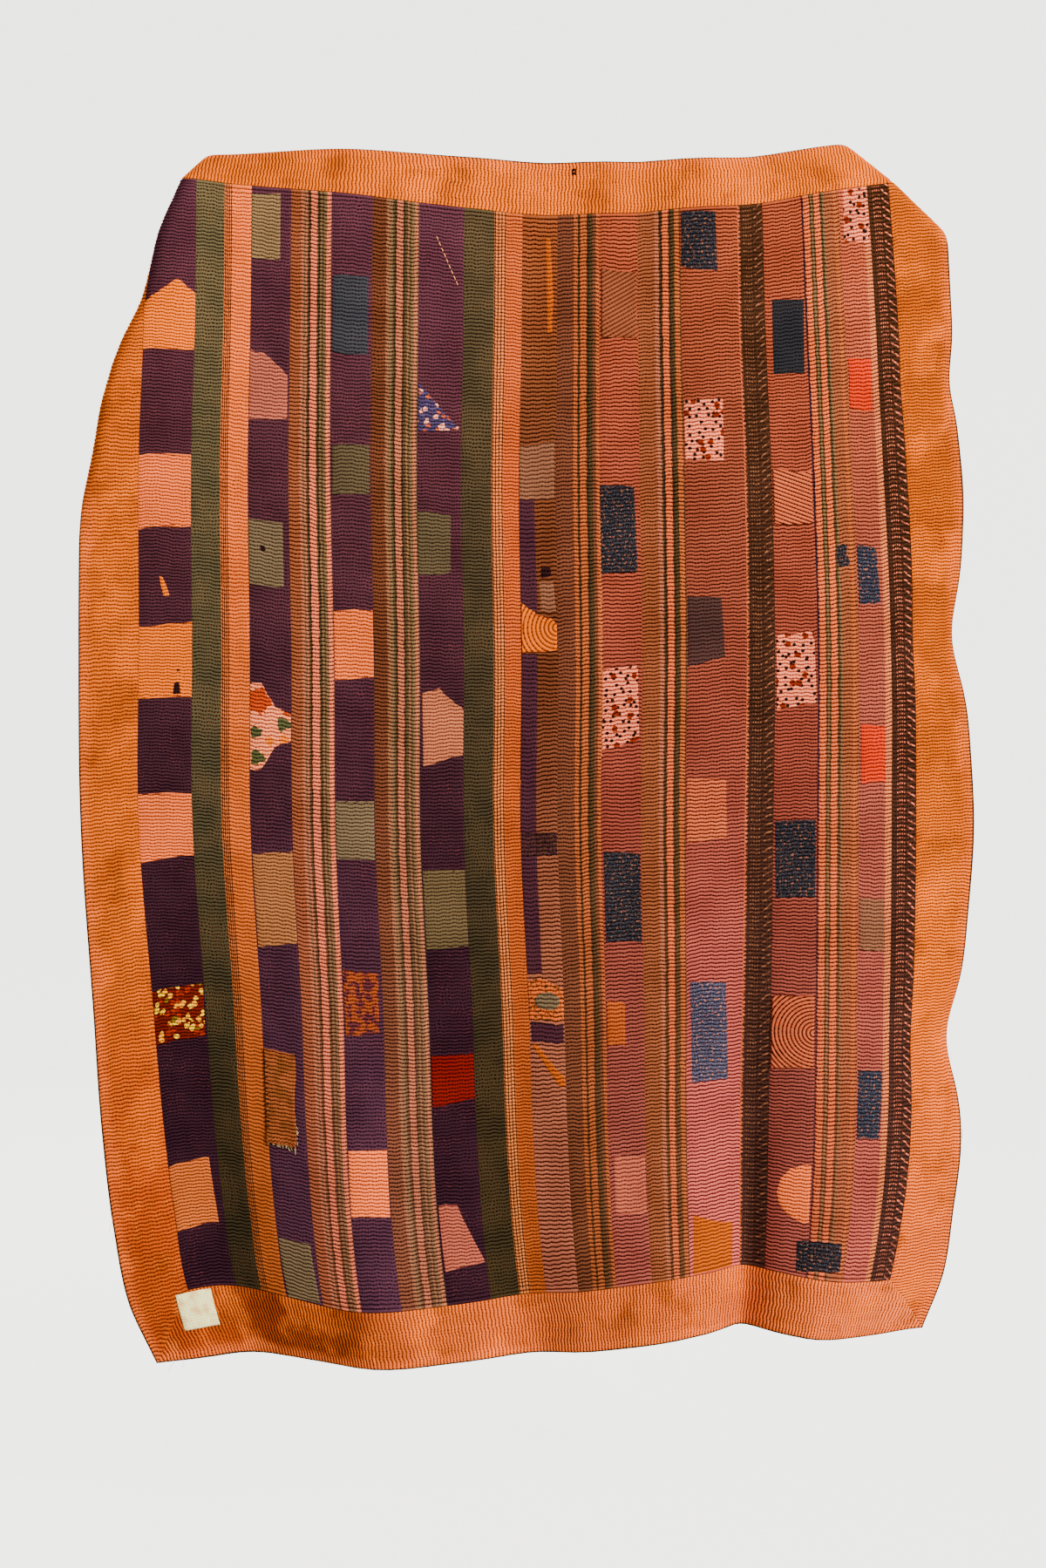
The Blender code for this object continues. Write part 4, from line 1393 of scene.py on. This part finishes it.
# on each strip: the patch's name, its cloth and its flat corners, across and drop, in order round it
patches = {
    "strip_01_plum": (
        ("patch_01_orange", "orangePatch",
         ((0.101, 0.300), (0.158, 0.260), (0.190, 0.281), (0.190, 0.374), (0.101, 0.382))),
        ("patch_01_salmon_high", "salmonPatch",
         ((0.101, 0.554), (0.190, 0.548), (0.190, 0.664), (0.101, 0.676))),
        ("patch_01_tan", "tanOrange", ((0.101, 0.834), (0.190, 0.824), (0.190, 0.948), (0.101, 0.954))),
        ("patch_01_salmon_middle", "salmonPatch",
         ((0.101, 1.110), (0.190, 1.108), (0.190, 1.208), (0.101, 1.224))),
        ("patch_01_flowers", "yellowFlowers",
         ((0.102, 1.432), (0.188, 1.420), (0.186, 1.508), (0.102, 1.520))),
        ("patch_01_salmon_low", "salmonShade",
         ((0.102, 1.720), (0.174, 1.712), (0.178, 1.820), (0.102, 1.828))),
        ("patch_01_hole", "tanOrange",
         ((0.136, 0.750), (0.141, 0.751), (0.146, 0.762), (0.153, 0.783), (0.143, 0.782),
          (0.138, 0.764))),
        ("patch_01_darn_low", "darnDark", ((0.160, 0.926), (0.169, 0.924), (0.172, 0.944), (0.158, 0.947))),
        ("patch_01_darn_high", "darnDark",
         ((0.164, 0.902), (0.170, 0.902), (0.170, 0.908), (0.164, 0.908))),
    ),
    "strip_04_plum": (
        ("patch_04_tan_high", "tanOlivePatch",
         ((0.289, 0.104), (0.340, 0.100), (0.340, 0.208), (0.289, 0.212))),
        ("patch_04_rose", "rosePatch",
         ((0.289, 0.362), (0.312, 0.364), (0.356, 0.398), (0.356, 0.470), (0.289, 0.476))),
        ("patch_04_olive_high", "oliveTan",
         ((0.289, 0.642), (0.348, 0.640), (0.348, 0.748), (0.289, 0.752))),
        ("patch_04_darn", "darnDark", ((0.308, 0.684), (0.316, 0.682), (0.320, 0.690), (0.309, 0.694))),
        ("patch_04_flowers", "redFlowers",
         ((0.289, 0.916), (0.308, 0.914), (0.332, 0.950), (0.358, 0.956), (0.358, 1.002), (0.332, 1.012),
          (0.308, 1.052), (0.289, 1.054))),
        ("patch_04_tan_low", "tanPatch", ((0.290, 1.192), (0.358, 1.182), (0.358, 1.334), (0.290, 1.346))),
        ("patch_04_olive_low", "oliveTan",
         ((0.290, 1.830), (0.350, 1.826), (0.354, 1.922), (0.292, 1.924))),
    ),
    "strip_06_plum": (
        ("patch_06_teal", "tealPatch", ((0.434, 0.228), (0.492, 0.224), (0.492, 0.350), (0.434, 0.354))),
        ("patch_06_olive_high", "olivePatch",
         ((0.435, 0.506), (0.496, 0.502), (0.496, 0.584), (0.434, 0.586))),
        ("patch_06_peach_high", "peachPatch",
         ((0.432, 0.782), (0.497, 0.774), (0.497, 0.886), (0.432, 0.894))),
        ("patch_06_olive_low", "oliveTan",
         ((0.432, 1.092), (0.497, 1.090), (0.496, 1.186), (0.432, 1.190))),
        ("patch_06_ember", "emberPrint", ((0.433, 1.368), (0.492, 1.370), (0.490, 1.474), (0.434, 1.476))),
        ("patch_06_peach_low", "peachBright",
         ((0.433, 1.664), (0.497, 1.662), (0.496, 1.772), (0.432, 1.774))),
    ),
    "strip_08_plum": (
        ("patch_08_print", "bluePrint", ((0.576, 0.388), (0.646, 0.464), (0.576, 0.470))),
        ("patch_08_olive", "olivePatch", ((0.575, 0.606), (0.630, 0.606), (0.628, 0.706), (0.575, 0.710))),
        ("patch_08_peach", "peachRose",
         ((0.578, 0.904), (0.606, 0.898), (0.624, 0.918), (0.647, 0.936), (0.647, 1.012),
          (0.580, 1.026))),
        ("patch_08_tan", "umberTan", ((0.576, 1.200), (0.647, 1.202), (0.647, 1.328), (0.576, 1.332))),
        ("patch_08_red", "redPatch", ((0.576, 1.512), (0.647, 1.510), (0.647, 1.586), (0.576, 1.594))),
        ("patch_08_pink", "pinkPatch", ((0.577, 1.762), (0.608, 1.762), (0.646, 1.862), (0.578, 1.872))),
    ),
    "strip_11_brown": (
        ("patch_11_sliver", "brightOrange",
         ((0.786, 0.130), (0.794, 0.130), (0.800, 0.230), (0.798, 0.290), (0.790, 0.290))),
        ("patch_11_pink", "pinkTanPatch", ((0.745, 0.482), (0.804, 0.482), (0.804, 0.576), (0.745, 0.576))),
        ("patch_11_plum_high", "violetPatch",
         ((0.745, 0.577), (0.770, 0.577), (0.773, 0.772), (0.745, 0.752))),
        ("patch_11_worn", "pinkTanPatch", ((0.776, 0.716), (0.800, 0.716), (0.804, 0.766), (0.778, 0.766))),
        ("patch_11_yellow", "yellowPatch",
         ((0.745, 0.753), (0.773, 0.773), (0.796, 0.777), (0.805, 0.790), (0.805, 0.832),
          (0.745, 0.838))),
        ("patch_11_darn", "darnDark", ((0.780, 0.692), (0.796, 0.692), (0.797, 0.706), (0.780, 0.709))),
        ("patch_11_plum_long", "violetPatch",
         ((0.745, 0.840), (0.772, 0.840), (0.771, 1.382), (0.745, 1.382))),
        ("patch_11_plaid", "darkPlaid", ((0.748, 1.144), (0.806, 1.146), (0.806, 1.184), (0.748, 1.184))),
        ("patch_11_lined", "linedOrange",
         ((0.745, 1.396), (0.770, 1.390), (0.806, 1.410), (0.806, 1.462), (0.746, 1.462))),
        ("patch_11_leaf", "oliveTan",
         ((0.754, 1.428), (0.762, 1.418), (0.786, 1.414), (0.800, 1.424), (0.800, 1.436), (0.786, 1.446),
          (0.762, 1.444))),
        ("patch_11_plum_low", "violetPatch",
         ((0.747, 1.465), (0.805, 1.468), (0.805, 1.500), (0.748, 1.500))),
        ("patch_11_slanting", "brightOrange",
         ((0.747, 1.503), (0.756, 1.503), (0.806, 1.562), (0.806, 1.576), (0.797, 1.576))),
    ),
    "strip_13_salmon": (
        ("patch_13_brown", "brownPatch", ((0.884, 0.188), (0.946, 0.192), (0.946, 0.308), (0.884, 0.302))),
        ("patch_13_navy_high", "navyDots",
         ((0.881, 0.554), (0.938, 0.560), (0.942, 0.710), (0.881, 0.708))),
        ("patch_13_print", "creamPrint", ((0.881, 0.874), (0.940, 0.870), (0.944, 0.998), (0.881, 1.010))),
        ("patch_13_navy_low", "navyDots", ((0.884, 1.186), (0.946, 1.192), (0.946, 1.344), (0.884, 1.340))),
        ("patch_13_orange", "warmOrange", ((0.882, 1.438), (0.914, 1.444), (0.914, 1.516), (0.882, 1.512))),
        ("patch_13_tan", "rosyTan", ((0.890, 1.706), (0.946, 1.710), (0.946, 1.806), (0.888, 1.800))),
    ),
    "strip_15_salmon": (
        ("patch_15_navy", "navyDots", ((1.024, 0.098), (1.084, 0.100), (1.086, 0.200), (1.024, 0.192))),
        ("patch_15_print", "creamPrint", ((1.024, 0.420), (1.090, 0.422), (1.088, 0.530), (1.024, 0.526))),
        ("patch_15_dusky", "duskyPatch", ((1.024, 0.758), (1.080, 0.762), (1.086, 0.868), (1.024, 0.878))),
        ("patch_15_tan", "tanStitched", ((1.024, 1.070), (1.090, 1.076), (1.092, 1.176), (1.024, 1.182))),
        ("patch_15_blue", "blueDots", ((1.028, 1.422), (1.092, 1.426), (1.098, 1.594), (1.032, 1.594))),
        ("patch_15_orange", "brightOrange",
         ((1.032, 1.820), (1.086, 1.844), (1.108, 1.848), (1.106, 1.923), (1.028, 1.923))),
    ),
    "strip_17_salmon": (
        ("patch_17_charcoal", "charcoalPatch",
         ((1.184, 0.258), (1.240, 0.264), (1.236, 0.390), (1.182, 0.386))),
        ("patch_17_tan", "tanStitched", ((1.173, 0.550), (1.240, 0.558), (1.240, 0.646), (1.173, 0.644))),
        ("patch_17_print", "creamPrint", ((1.173, 0.836), (1.236, 0.826), (1.240, 0.952), (1.174, 0.962))),
        ("patch_17_navy", "navyDots", ((1.174, 1.154), (1.240, 1.154), (1.240, 1.284), (1.176, 1.282))),
        ("patch_17_rings", "tanStitched", ((1.173, 1.454), (1.240, 1.450), (1.240, 1.574), (1.173, 1.578))),
        ("patch_17_half_disc", "peachBright",
         ((1.186, 1.790), (1.192, 1.766), (1.208, 1.746), (1.232, 1.736), (1.240, 1.738), (1.240, 1.836),
          (1.226, 1.836), (1.204, 1.826), (1.190, 1.810))),
        ("patch_17_navy_low", "navyDots", ((1.222, 1.866), (1.242, 1.865), (1.242, 1.916), (1.224, 1.918))),
    ),
    "strip_18_stripe": (
        ("patch_18_navy", "navyDots", ((1.242, 1.865), (1.300, 1.862), (1.302, 1.910), (1.242, 1.916))),
        ("patch_18_spot", "navyDots",
         ((1.280, 0.690), (1.290, 0.688), (1.297, 0.694), (1.294, 0.706), (1.301, 0.718), (1.296, 0.727),
          (1.282, 0.726), (1.278, 0.708))),
    ),
    "strip_19_salmon": (
        ("patch_19_print", "creamPrint", ((1.320, 0.094), (1.364, 0.094), (1.364, 0.186), (1.316, 0.178))),
        ("patch_19_red_high", "orangeRed",
         ((1.314, 0.374), (1.354, 0.378), (1.352, 0.464), (1.313, 0.460))),
        ("patch_19_navy_high", "navyBlue",
         ((1.313, 0.692), (1.346, 0.694), (1.350, 0.788), (1.314, 0.788))),
        ("patch_19_red_low", "orangeRed", ((1.314, 0.990), (1.354, 0.992), (1.356, 1.090), (1.316, 1.090))),
        ("patch_19_tan", "pinkTanPatch", ((1.313, 1.284), (1.354, 1.284), (1.356, 1.372), (1.314, 1.370))),
        ("patch_19_navy_low", "navyBlue", ((1.313, 1.574), (1.354, 1.574), (1.352, 1.688), (1.313, 1.688))),
    ),
}
# patches with stitch rows of their own: in rings, or slanting by an angle in degrees
ownRows = {"patch_11_yellow": "rings", "patch_13_brown": 28, "patch_17_tan": -24, "patch_17_rings": "rings"}
slotOfStrip = {name: slot for name, width, rows, slot, cloth in strips}
patchesOn = {}
for stripName, rows in patches.items():
    patchesOn[stripName] = []
    for patchName, look, corners in rows:
        proud = patchShape["ownProud" if patchName in ownRows else "proud"]
        if "darn" in patchName or "leaf" in patchName:
            proud = patchShape["smallProud"]
        patchPiece = makePatch(patchName, stripName, corners, look, slotOfStrip[stripName], proud,
                               ownRows.get(patchName))
        patchesOn[stripName].append(patchPiece)
print("patches made", sum(map(len, patchesOn.values())))


# The patch that stands off its strip, the blank label and the loose threads

loosePatch = {
    "left": 0.2905,
    "right": 0.344,
    "top": 1.516,
    "bottom": 1.669,
    "height": 0.0036,
    "thickness": 0.0012,
    "columnWidth": 0.003,
    "wave": 0.6,
    "ribs": 0.35,
    "skew": 0.004,
    "sway": 0.0015,
    "swayTurns": 9.0,
    "jagged": 0.003,
    "jaggedTurns": 900.0,
    "sideCurl": 0.0022,
    "endCurl": 0.0018,
    "hem": 0.0009,
}
label = {
    "corners": ((0.079, 1.929), (0.141, 1.929), (0.133, 1.985), (0.071, 1.985)),
    "flat": (0.062, 0.056),
    "height": 0.0032,
    "thickness": 0.0006,
    "places": 22,
    "ripple": 0.0009,
    "rippleWidth": 0.014,
    "rippleDrop": 0.012,
    "hem": 0.0005,
    "rowPitch": 0.004,
}


def closedSheet(name, across, drop, height, thickness, rows, columns, row, material):
    # a thin cloth with a front, a back and edges
    count = rows * columns
    loop = outlineOf(np.arange(count).reshape(rows, columns))
    front = gridFaces(rows, columns)
    back = front[:, ::-1] + count
    nextLoop = np.roll(loop, -1)
    sides = np.stack((loop, nextLoop, nextLoop + count, loop + count), axis=1)
    across, drop, row = np.tile(across, 2), np.tile(drop, 2), np.tile(row, 2)
    height = np.concatenate((height, height - thickness))
    faces = np.concatenate((front, back, sides))
    return sheetObject(name, across, drop, height, across, row, faces, material)


def makeLoosePatch():
    left, right, top, bottom = (loosePatch[key] for key in ("left", "right", "top", "bottom"))
    pitch = rowPitch["strip_04_plum"]
    firstRow, lastRow = (top - quilt["borderTop"]) / pitch, (bottom - quilt["borderTop"]) / pitch
    lines = ribLines(firstRow, lastRow)
    columns = evenColumns(left, right, loosePatch["columnWidth"])
    across, row = grid(columns, lines)
    share = (row - firstRow) / (lastRow - firstRow)
    side = (across - left) / (right - left)
    drop = strayingDrop(across, row, pitch, loosePatch["wave"])
    jagged = loosePatch["jagged"] * np.sin(across * loosePatch["jaggedTurns"]) * (share - 0.9) * 10
    drop = drop + np.where(share > 0.9, jagged, 0.0)
    sway = loosePatch["sway"] * np.sin(share * loosePatch["swayTurns"]) * side
    across = across - loosePatch["skew"] * share ** 2 + sway
    curl = loosePatch["sideCurl"] * fadeIn(side - 0.72, 0.28) * fadeIn(share - 0.25, 0.3)
    curl = curl + loosePatch["endCurl"] * fadeIn(share - 0.8, 0.2)
    hem = loosePatch["hem"] * (fadeIn(0.09 - side, 0.05) + fadeIn(0.05 - share, 0.03))
    height = loosePatch["height"] + curl + hem + ribRise(across, row) * loosePatch["ribs"]
    piece = closedSheet("loose_patch_cloth", across, drop, height, loosePatch["thickness"], len(lines),
                        len(columns), row, materials["rustPatch"])
    return keep(piece, "patch", "loose_patch")


def makeLabel():
    places = label["places"]
    side, low = grid(np.linspace(0.0, 1.0, places), np.linspace(0.0, 1.0, places))
    corners = np.array(label["corners"])
    upper = corners[0] + (corners[1] - corners[0]) * side[:, None]
    lower = corners[3] + (corners[2] - corners[3]) * side[:, None]
    flat = upper + (lower - upper) * low[:, None]
    across, drop = flat[:, 0], flat[:, 1]
    ripple = readNoise(puffTable, drop / label["rippleDrop"] + 50.0, across / label["rippleWidth"] + 30.0)
    edge = np.minimum(np.minimum(side, 1 - side), np.minimum(low, 1 - low))
    height = label["height"] + (ripple - 0.5) * label["ripple"] * fadeIn(edge, 0.1)
    height = height - label["hem"] * fadeIn(0.08 - edge, 0.06)
    piece = closedSheet("blank_label_cloth", across, drop, height, label["thickness"], places, places,
                        drop / label["rowPitch"], materials["labelCotton"])
    return keep(piece, "label", "blank_label")


threadSides = 5


def tubeMesh(name, paths, material, radius):
    # fine threads along given points
    points, faces = [], []
    turns = [2 * math.pi * number / threadSides for number in range(threadSides)]
    for path in paths:
        path = np.asarray(path, float)
        slopes = np.gradient(path, axis=0)
        slopes /= np.linalg.norm(slopes, axis=1, keepdims=True)
        start = len(points)
        for place, slope in zip(path, slopes):
            helper = np.array((0.0, 0.0, 1.0)) if abs(slope[2]) < 0.9 else np.array((1.0, 0.0, 0.0))
            first = np.cross(slope, helper)
            first /= np.linalg.norm(first)
            second = np.cross(slope, first)
            for angle in turns:
                points.append(place + radius * (math.cos(angle) * first + math.sin(angle) * second))
        for ring in range(len(path) - 1):
            for number in range(threadSides):
                here = start + ring * threadSides + number
                after = start + ring * threadSides + (number + 1) % threadSides
                faces.append((here, after, after + threadSides, here + threadSides))
    return meshObject(name, np.array(points), faces, material)


def threadPoints(flatPoints, heights):
    flat = np.asarray(flatPoints, float)
    places, normals = hungPlaces(flat[:, 0], flat[:, 1])
    return places + normals * np.asarray(heights)[:, None]


yarn = {"roughness": 0.8, "grainScale": 900.0, "paler": 1.3, "bump": 0.6, "bumpDepth": 0.0002}


def plainThread(name, colour):
    material = bpy.data.materials.new(name)
    material.use_nodes = True
    tree = material.node_tree
    shader = tree.nodes["Principled BSDF"]
    shader.inputs["Roughness"].default_value = yarn["roughness"]
    shader.inputs["Specular IOR Level"].default_value = 0.0
    where = addNode(tree, "TexCoord").outputs["Object"]
    grain = addNode(tree, "TexNoise", {"Vector": where, "Scale": yarn["grainScale"]}).outputs[0]
    pale = [min(1.0, value * yarn["paler"]) for value in paint(*colour)[:3]] + [1.0]
    tone = blend(tree, grain, paint(*colour), pale)
    tree.links.new(tone, shader.inputs["Base Color"])
    bump = {"Height": grain, "Strength": yarn["bump"], "Distance": yarn["bumpDepth"]}
    tree.links.new(addNode(tree, "Bump", bump).outputs[0], shader.inputs["Normal"])
    return material


def labelPattern(tree):
    # blank cream tape with a faint yellowing
    blot = smoothRange(tree, flatNoise(tree, 60.0, 3.0), 0.4, 0.7)
    return blend(tree, blot, paint(220, 206, 184), paint(208, 190, 160))


addCloth("rustPatch", twoTonePattern((184, 92, 52), (160, 74, 40), 40.0, 0.35, 0.65), valley=0.9,
         threadShow=0.3, thread=(110, 50, 26))
addCloth("labelCotton", labelPattern, valley=0.08, threadShow=0.0, mottle=0.15)
loosePiece = makeLoosePatch()
labelPiece = makeLabel()
paleThread = plainThread("paleThread", (220, 170, 120))
frayThread = plainThread("frayThread", (228, 196, 170))
darkThread = plainThread("darkThread", (38, 28, 26))
rustThread = plainThread("rustThread", (206, 110, 60))
whiteThread = plainThread("whiteThread", (240, 232, 214))
threadMaker = np.random.default_rng(5)

overcast = {
    "inset": 0.02,
    "spacing": 0.009,
    "stray": 0.002,
    "heights": (0.0030, 0.0070, 0.0062),
    "radius": 0.0008,
}
fray = {
    "ends": 26,
    "sideEnds": 10,
    "lean": 0.004,
    "length": (0.002, 0.006),
    "cornerLength": 0.009,
    "sideLength": (0.003, 0.008),
    "radius": 0.00017,
}
labelSewing = {
    "start": 0.003,
    "spacing": 0.0052,
    "length": 0.0028,
    "inset": 0.05,
    "heights": (0.0026, 0.0034, 0.0026),
    "radius": 0.0003,
}
slanting = {
    "start": (0.603, 0.145),
    "end": (0.640, 0.226),
    "count": 9,
    "share": 0.6,
    "heights": (0.0020, 0.0030, 0.0020),
    "radius": 0.0006,
}
seamSewing = {
    "across": 0.880,
    "top": 0.62,
    "bottom": 1.02,
    "spacing": 0.0075,
    "span": 0.0016,
    "slant": 0.0012,
    "stray": 0.0006,
    "heights": (0.0018, 0.0030, 0.0018),
    "radius": 0.0003,
}
looseEnds = {
    "height": 0.002,
    "curl": 0.0022,
    "curlTurn": 5.0,
    "sag": 1.4,
    "radius": 0.0003,
    # across, drop, run to the right, length, lift off the cloth
    "rows": (
        (0.002, 1.78, -0.004, 0.030, 0.002),
        (0.003, 1.80, -0.003, 0.024, 0.003),
        (1.498, 1.68, 0.006, 0.018, 0.002),
        (0.030, 2.028, -0.006, 0.020, 0.003),
        (0.045, 2.028, 0.004, 0.014, 0.004),
        (0.740, 1.05, 0.006, 0.016, 0.004),
    ),
}


def overcastStitches():
    paths = []
    first, last = loosePatch["top"] + overcast["inset"], loosePatch["bottom"] - overcast["inset"]
    for place in np.arange(first, last, overcast["spacing"]):
        stray = threadMaker.uniform(-overcast["stray"], overcast["stray"])
        share = (place - loosePatch["top"]) / (loosePatch["bottom"] - loosePatch["top"])
        left = loosePatch["left"] - loosePatch["skew"] * share ** 2
        flat = [(left - 0.003, place + 0.003 + stray), (left + 0.002, place + stray),
                (left + 0.007, place - 0.002)]
        paths.append(threadPoints(flat, overcast["heights"]))
    return paths


def frayedEnd():
    # loose ends under the patch, longer towards its right corner, and a few at its right side
    paths = []
    left, right, bottom = loosePatch["left"] - 0.003, loosePatch["right"] - 0.004, loosePatch["bottom"]
    for number in range(fray["ends"]):
        share = threadMaker.uniform(0.0, 1.0)
        across = left + (right - left) * share
        length = threadMaker.uniform(*fray["length"])
        length = length + fray["cornerLength"] * share ** 2 * threadMaker.uniform(0.2, 1.0)
        lean = threadMaker.uniform(-fray["lean"], fray["lean"])
        flat = [(across, bottom - 0.002), (across + lean * 0.3, bottom + length * 0.5),
                (across + lean, bottom + length)]
        paths.append(threadPoints(flat, [0.0052, 0.0050, threadMaker.uniform(0.003, 0.006)]))
    for number in range(fray["sideEnds"]):
        drop = threadMaker.uniform(bottom - 0.05, bottom - 0.004)
        length = threadMaker.uniform(*fray["sideLength"])
        flat = [(right - 0.001, drop), (right + length * 0.5, drop + 0.001),
                (right + length * 0.8, drop + length * 0.6)]
        paths.append(threadPoints(flat, [0.0056, 0.0056, threadMaker.uniform(0.004, 0.007)]))
    return paths


def shortStitch(start, end, heights):
    return threadPoints([start, (start + end) / 2, end], heights)


def labelStitches():
    corners = np.array(label["corners"])
    middle = corners.mean(axis=0)
    inset = labelSewing["inset"]
    paths = []
    for first, second in zip(corners, np.roll(corners, -1, axis=0)):
        run = second - first
        length = float(np.linalg.norm(run))
        for place in np.arange(labelSewing["start"], length - 0.004, labelSewing["spacing"]):
            start = first + run * place / length
            end = first + run * (place + labelSewing["length"]) / length
            start, end = start + (middle - start) * inset, end + (middle - end) * inset
            paths.append(shortStitch(start, end, labelSewing["heights"]))
    return paths


def slantingStitches():
    # a broken line of pale stitches that slants down the fourth plum strip
    start, end = np.array(slanting["start"]), np.array(slanting["end"])
    paths = []
    for number in range(slanting["count"]):
        first = start + (end - start) * number / slanting["count"]
        second = start + (end - start) * (number + slanting["share"]) / slanting["count"]
        paths.append(shortStitch(first, second, slanting["heights"]))
    return paths


def seamStitches():
    # short slanting stitches that hold a seam
    span, slant = seamSewing["span"], seamSewing["slant"]
    paths = []
    for place in np.arange(seamSewing["top"], seamSewing["bottom"], seamSewing["spacing"]):
        middle = seamSewing["across"] + threadMaker.uniform(-seamSewing["stray"], seamSewing["stray"])
        flat = [(middle - span, place + slant), (middle, place), (middle + span, place - slant)]
        paths.append(threadPoints(flat, seamSewing["heights"]))
    return paths


def looseEnd(across, drop, sideways, length, lift):
    # one stray end that hangs off the cloth
    place = threadPoints([(across, drop)], [looseEnds["height"]])[0]
    steps = np.linspace(0.0, 1.0, 9)
    curl = np.sin(steps * looseEnds["curlTurn"]) * looseEnds["curl"]
    return np.stack((place[0] + sideways * steps + curl, place[1] - lift * np.sin(steps * math.pi),
                     place[2] - length * steps ** looseEnds["sag"]), axis=1)


def sewn(name, paths, material, look, slot):
    return keep(tubeMesh(name, paths, material, look["radius"]), slot)


threadPieces = [
    sewn("overcast_stitches", overcastStitches(), darkThread, overcast, "patch"),
    sewn("frayed_end", frayedEnd(), frayThread, fray, "patch"),
    sewn("label_stitches", labelStitches(), whiteThread, labelSewing, "label"),
    sewn("slanting_stitches", slantingStitches(), paleThread, slanting, "plum"),
    sewn("seam_stitches", seamStitches(), paleThread, seamSewing, "stripe"),
    sewn("loose_ends", [looseEnd(*row) for row in looseEnds["rows"]], rustThread, looseEnds, "orange"),
]
spots = {
    "spot_top_border": ((0.832, 0.012), (0.840, 0.010), (0.841, 0.024), (0.834, 0.026)),
    "spot_top_left": ((0.784, 0.046), (0.789, 0.046), (0.789, 0.050), (0.784, 0.050)),
}
for spotName, corners in spots.items():
    spotPiece = makePatch(spotName, "border_top", corners, "darnDark", "orange", patchShape["spotProud"])
print("loose patch, label and threads made")
# The studio: a pale floor that sweeps up all round, soft lights and the camera

studio = {
    "floor": -2.33,
    "floorRadius": 6.6,
    "sweep": 1.6,
    "sweepSteps": 8,
    "wallTop": 9.0,
    "segments": 96,
    "pale": (0.22, 0.215, 0.205, 1.0),
    "roughness": 0.95,
    "shine": 0.1,
    "glowColour": (1.0, 0.985, 0.955, 1.0),
    "glow": 3.2,
    "worldColour": (1.0, 0.985, 0.96, 1.0),
    "world": 0.5,
}
# name, place, size, power and colour; each light points at the middle of the quilt
lights = (
    ("key_light", (4.2, -5.0, 1.6), 1.8, 1550.0, (1.0, 0.97, 0.93)),
    ("fill_light", (-3.6, -3.4, 0.2), 2.4, 70.0, (0.95, 0.98, 1.0)),
    ("back_light", (-3.0, 3.6, 2.4), 1.6, 1050.0, (1.0, 0.98, 0.95)),
)
lightAim = (0.0, 0.0, -1.0)
view = {"distance": 3.646, "height": -1.0413, "lens": 50.0, "sensor": 36.0}


def makeStudio():
    profile = [(0.0, studio["floor"]), (studio["floorRadius"] * 0.5, studio["floor"])]
    for step in range(studio["sweepSteps"] + 1):
        angle = math.pi / 2 * step / studio["sweepSteps"]
        profile.append((studio["floorRadius"] + studio["sweep"] * math.sin(angle),
                        studio["floor"] + studio["sweep"] * (1 - math.cos(angle))))
    profile.append((studio["floorRadius"] + studio["sweep"], studio["wallTop"]))
    points, faces = [], []
    count = studio["segments"]
    for radius, height in profile:
        for number in range(count):
            angle = 2 * math.pi * number / count
            points.append((radius * math.cos(angle), radius * math.sin(angle), height))
    for ring in range(len(profile) - 1):
        for number in range(count):
            after = (number + 1) % count
            faces.append((ring * count + number, (ring + 1) * count + number,
                          (ring + 1) * count + after, ring * count + after))
    material = bpy.data.materials.new("studioPale")
    material.use_nodes = True
    shader = material.node_tree.nodes["Principled BSDF"]
    shader.inputs["Base Color"].default_value = studio["pale"]
    shader.inputs["Roughness"].default_value = studio["roughness"]
    shader.inputs["Specular IOR Level"].default_value = studio["shine"]
    shader.inputs["Emission Color"].default_value = studio["glowColour"]
    shader.inputs["Emission Strength"].default_value = studio["glow"]
    floor = meshObject("studio_floor", np.array(points), faces, material)
    floor.visible_diffuse = False
    return floor


def areaLight(name, place, size, power, colour):
    data = bpy.data.lights.new(name, "AREA")
    data.size = size
    data.energy = power
    data.color = colour
    lamp = bpy.data.objects.new(name, data)
    bpy.context.collection.objects.link(lamp)
    lamp.location = place
    run = np.array(lightAim) - np.array(place)
    flatRun = math.hypot(run[0], run[1])
    lamp.visible_camera = False
    lamp.rotation_euler = (math.atan2(flatRun, -run[2]), 0.0, math.atan2(run[1], run[0]) - math.pi / 2)
    return lamp


makeStudio()
for light in lights:
    areaLight(*light)
world = bpy.data.worlds.new("paleWorld")
bpy.context.scene.world = world
world.use_nodes = True
worldInputs = world.node_tree.nodes["Background"].inputs
worldInputs[0].default_value = studio["worldColour"]
worldInputs[1].default_value = studio["world"]
cameraData = bpy.data.cameras.new("photo_camera")
camera = bpy.data.objects.new("photo_camera", cameraData)
bpy.context.collection.objects.link(camera)
camera.location = (0.0, -view["distance"], view["height"])
camera.rotation_euler = (math.pi / 2, 0.0, 0.0)
cameraData.lens = view["lens"]
cameraData.sensor_width = view["sensor"]
cameraData.sensor_fit = "AUTO"
cameraData.dof.use_dof = False
bpy.context.scene.camera = camera
print("studio made")
